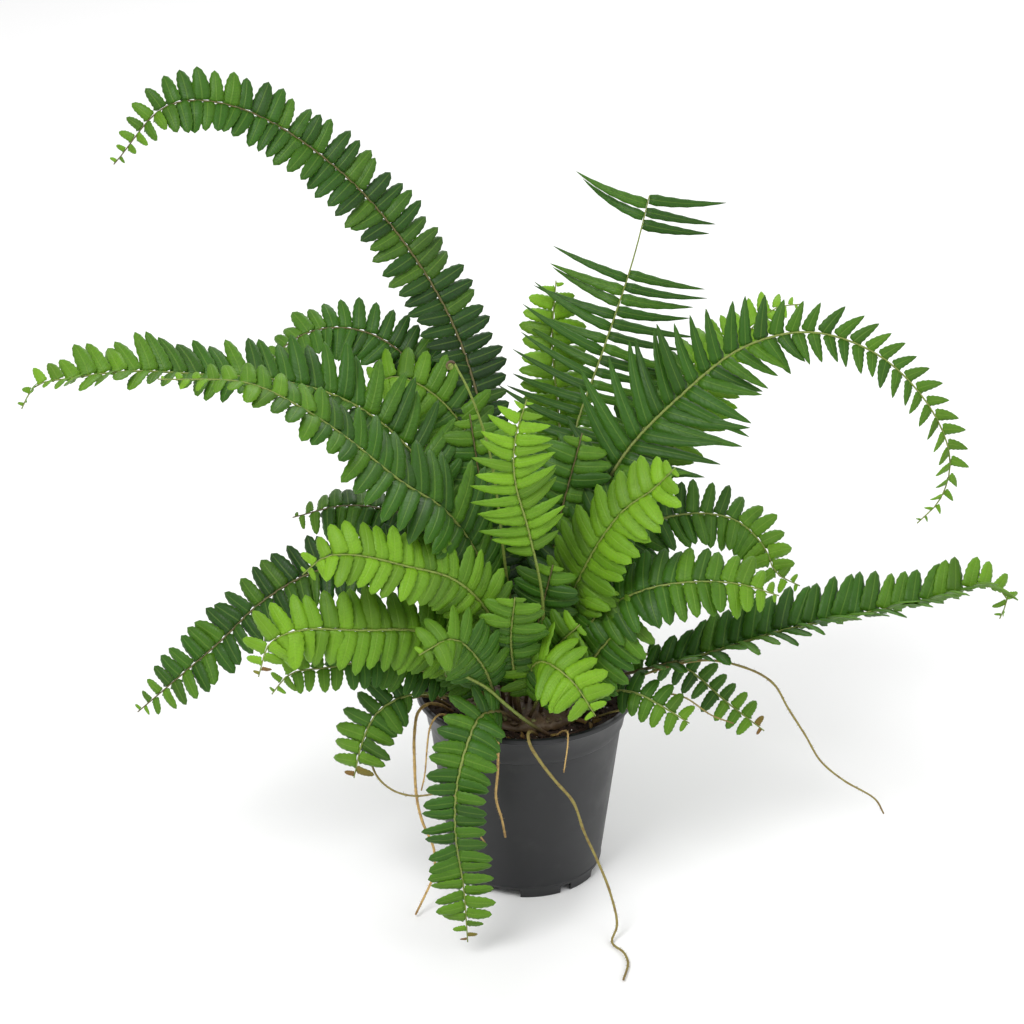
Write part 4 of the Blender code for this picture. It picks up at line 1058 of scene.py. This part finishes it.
def add_hairs(heap, stalk, radius, count, rng, length):
    """Fine hairs that stand off a runner, each a slim three-sided cone."""
    for _ in range(count):
        share = rng.uniform(0.02, 0.99)
        along, up, across = stalk.axes(share)
        angle = rng.uniform(0, math.tau)
        out = up * math.cos(angle) + across * math.sin(angle)
        foot = stalk.point(share) + out * radius * 0.6
        aim = unit(out + along * rng.uniform(-0.8, 0.8))
        reach = length * rng.uniform(0.3, 1.0)
        side = unit(np.cross(aim, along)) * HAIR_RADIUS_MM * MM
        other = unit(np.cross(aim, side)) * HAIR_RADIUS_MM * MM
        tip = foot + aim * reach
        tip[2] = max(tip[2], 0.2 * MM)
        corners = np.array([foot + side, foot - side * 0.5 + other, foot - side * 0.5 - other, tip])
        heap.add(corners, [(0, 2, 1), (0, 1, 3), (1, 2, 3), (2, 0, 3)], along=share)


class FERN_OT_runners(bpy.types.Operator):
    """Build the runners and roots with their hairs, and the two young stalks with their buds"""
    bl_idname = "fern.runners"
    bl_label = "Runners and Roots"

    def execute(self, context):
        s = context.scene.fern_roots
        skins = {"olive": (runner_material("wiry_runner_bark", s.olive), "runner_olive"),
                 "tan": (runner_material("young_root_skin", s.tan), "root_tan")}
        green = stalk_material()
        for index, (name, tint, radius, route) in enumerate(RUNNERS):
            rng = np.random.default_rng(SEED + 100 + index)
            stalk = Stalk(route, (0.3, -0.9, 0.3), (0.3, -0.9, 0.3))
            heap = Heap("along", "youth")
            shares = np.linspace(0, 1, max(24, int(stalk.length / (2.5 * MM))))
            path = np.array([stalk.point(share) for share in shares])
            wobble = 1 + 0.18 * np.array([noise.noise(Vector(p) * 300) for p in path])
            radii = radius * MM * (1 - 0.35 * shares) * wobble
            verts, faces, along = tube(path, radii, 8)
            heap.add(verts, faces, along=along, youth=0.9)
            if tint == "bright":
                self.bud(heap, stalk)
                finish, slot_name = green, "stalk_green"
            else:
                count = int(stalk.length / MM * HAIRS_PER_MM)
                add_hairs(heap, stalk, radius * MM, count, rng, s.hair)
                finish, slot_name = skins[tint]
            settle(heap.piece(name + "_skin", finish), slot_name, name)
        return {"FINISHED"}

    def bud(self, heap, stalk):
        """The rolled tip of an unopened frond: a flat spiral that tapers inwards."""
        along, up, across = stalk.axes(0.97)
        centre = stalk.point(1.0) - across * BUD_RADIUS_MM * MM
        turns = np.linspace(0, BUD_TURNS * math.tau, BUD_STEPS)
        reach = BUD_RADIUS_MM * MM * np.exp(-0.12 * turns)
        path = (centre + across * (np.cos(turns) * reach)[:, None]
                + along * (np.sin(turns) * reach)[:, None])
        verts, faces, share = tube(path, np.linspace(0.7, 0.35, BUD_STEPS) * MM, 7, up)
        heap.add(verts, faces, along=share, youth=0.9)


# ---- litter ------------------------------------------------------------------------------------
SCRAP_COUNT = 26
SCRAP_LIMIT_MM = 53.0


class FERN_OT_litter(bpy.types.Operator):
    """Scatter the withered leaf scraps that lie on the soil by the rim"""
    bl_idname = "fern.litter"
    bl_label = "Leaf Litter"

    def execute(self, context):
        rng = np.random.default_rng(SEED + 300)
        heap = Heap("along", "across", "tone", "youth", "withered")
        blank = leaf_blank()
        flat = Stalk(((0, 0, 0), (1, 0, 0), (2, 0, 0)), (0, 0, 1), (0, 0, 1))
        for _ in range(SCRAP_COUNT):
            stance = LeafStance(flat, 0.5, 1, rng.uniform(-10, 30), rng.uniform(-80, 80),
                                rng.uniform(-40, 40))
            r = rng.uniform(40, 50)
            a = rng.uniform(0, math.tau)
            x, y = r * math.cos(a), r * math.sin(a)
            stance.foot = np.array((x, y, soil_height(x, y) + 1.6)) * MM
            turn = rng.uniform(0, math.tau)
            spin = np.array(((math.cos(turn), -math.sin(turn), 0),
                             (math.sin(turn), math.cos(turn), 0), (0, 0, 1)))
            stance.aim = spin @ stance.aim
            stance.breadth = spin @ stance.breadth
            stance.top = spin @ stance.top
            length = rng.uniform(4, 8) * MM
            if np.hypot(*(stance.foot + stance.aim * length)[:2]) > SCRAP_LIMIT_MM * MM:
                continue
            add_leaflet(heap, blank, stance, length, length * 0.5, 0.4, rng,
                        tone=rng.uniform(0, 1), youth=0.3, withered=rng.uniform(0.75, 1.0))
        cuticle = bpy.data.materials["fern_leaflet_cuticle"]
        settle(heap.piece("withered_scraps", cuticle), "potting_soil")
        return {"FINISHED"}


# ---- stage -------------------------------------------------------------------------------------
CAMERA_PITCH = 25.0
CAMERA_REACH = 1.6
CAMERA_LENS_MM = 105.6
CAMERA_SENSOR_MM = 36
CAMERA_AIM = Vector((-0.0075, 0.0, 0.2148))
FLOOR_SIZE = 14
SKY_STRENGTH = 0.62
# each square lamp has a name, a place, an aim, a side in metres and a power in watts
LAMPS = (
    ("key", (-0.9, -1.2, 1.9), (0, 0, 0.15), 1.0, 32),
    ("fill", (1.4, -0.9, 1.2), (0, 0, 0.2), 1.2, 9),
    ("back", (0.3, 1.6, 1.7), (0, 0, 0.2), 1.3, 18),
)


def area_light(name, place, aim, size, power):
    data = bpy.data.lights.new(name, "AREA")
    data.shape = "SQUARE"
    data.size = size
    data.energy = power
    lamp = bpy.data.objects.new(name, data)
    lamp.location = place
    lamp.rotation_euler = (Vector(aim) - Vector(place)).to_track_quat("-Z", "Y").to_euler()
    bpy.context.scene.collection.objects.link(lamp)


def place_camera():
    pitch = math.radians(CAMERA_PITCH)
    data = bpy.data.cameras.new("camera")
    data.lens = CAMERA_LENS_MM
    data.sensor_width = CAMERA_SENSOR_MM
    camera = bpy.data.objects.new("camera", data)
    back = Vector((0, -math.cos(pitch), math.sin(pitch)))
    camera.location = CAMERA_AIM + back * CAMERA_REACH
    camera.rotation_euler = (math.radians(90) - pitch, 0, 0)
    bpy.context.scene.collection.objects.link(camera)
    bpy.context.scene.camera = camera


class FERN_OT_stage(bpy.types.Operator):
    """Lay the pale floor, set the soft lights and place the camera"""
    bl_idname = "fern.stage"
    bl_label = "Stage"

    def execute(self, context):
        deselect_all()
        bpy.ops.mesh.primitive_plane_add(size=FLOOR_SIZE, location=(0, 0, 0))
        floor = bpy.context.object
        floor.name = "studio_floor"
        paint, shader = new_material("matt_white_floor")
        connect(paint, shader, Base_Color=(0.93, 0.93, 0.93, 1), Roughness=0.9,
                Specular_IOR_Level=0.1)
        floor.data.materials.append(paint)
        world = context.scene.world or bpy.data.worlds.new("studio")
        context.scene.world = world
        world.use_nodes = True
        connect(world, world.node_tree.nodes["Background"], Color=(1, 1, 1, 1),
                Strength=SKY_STRENGTH)
        for lamp in LAMPS:
            area_light(*lamp)
        context.scene.view_settings.view_transform = "Standard"
        place_camera()
        return {"FINISHED"}


class FERN_PT_panel(bpy.types.Panel):
    """Lists the settings and the steps that build the fern"""
    bl_idname = "FERN_PT_panel"
    bl_label = "Potted Sword Fern"
    bl_space_type = "VIEW_3D"
    bl_region_type = "UI"
    bl_category = "Fern"

    def draw(self, context):
        for group in ("fern_pot", "fern_soil", "fern_leaves", "fern_roots"):
            settings = getattr(context.scene, group)
            box = self.layout.box()
            for name in settings.__annotations__:
                box.prop(settings, name)
        for operator in STEPS:
            self.layout.operator(operator.bl_idname)


SETTINGS = {"fern_pot": FernPotSettings, "fern_soil": FernSoilSettings,
            "fern_leaves": FernLeafSettings, "fern_roots": FernRootSettings}
STEPS = (FERN_OT_pot, FERN_OT_soil, FERN_OT_rootstock, FERN_OT_fronds, FERN_OT_runners,
         FERN_OT_litter, FERN_OT_stage)


def register():
    for name, group in SETTINGS.items():
        bpy.utils.register_class(group)
        setattr(bpy.types.Scene, name, bpy.props.PointerProperty(type=group))
    for operator in STEPS:
        bpy.utils.register_class(operator)
    bpy.utils.register_class(FERN_PT_panel)


def unregister():
    bpy.utils.unregister_class(FERN_PT_panel)
    for operator in reversed(STEPS):
        bpy.utils.unregister_class(operator)
    for name, group in SETTINGS.items():
        delattr(bpy.types.Scene, name)
        bpy.utils.unregister_class(group)


def main():
    register()
    for operator in STEPS:
        group, name = operator.bl_idname.split(".")
        getattr(getattr(bpy.ops, group), name)()


if __name__ == "__main__":
    main()
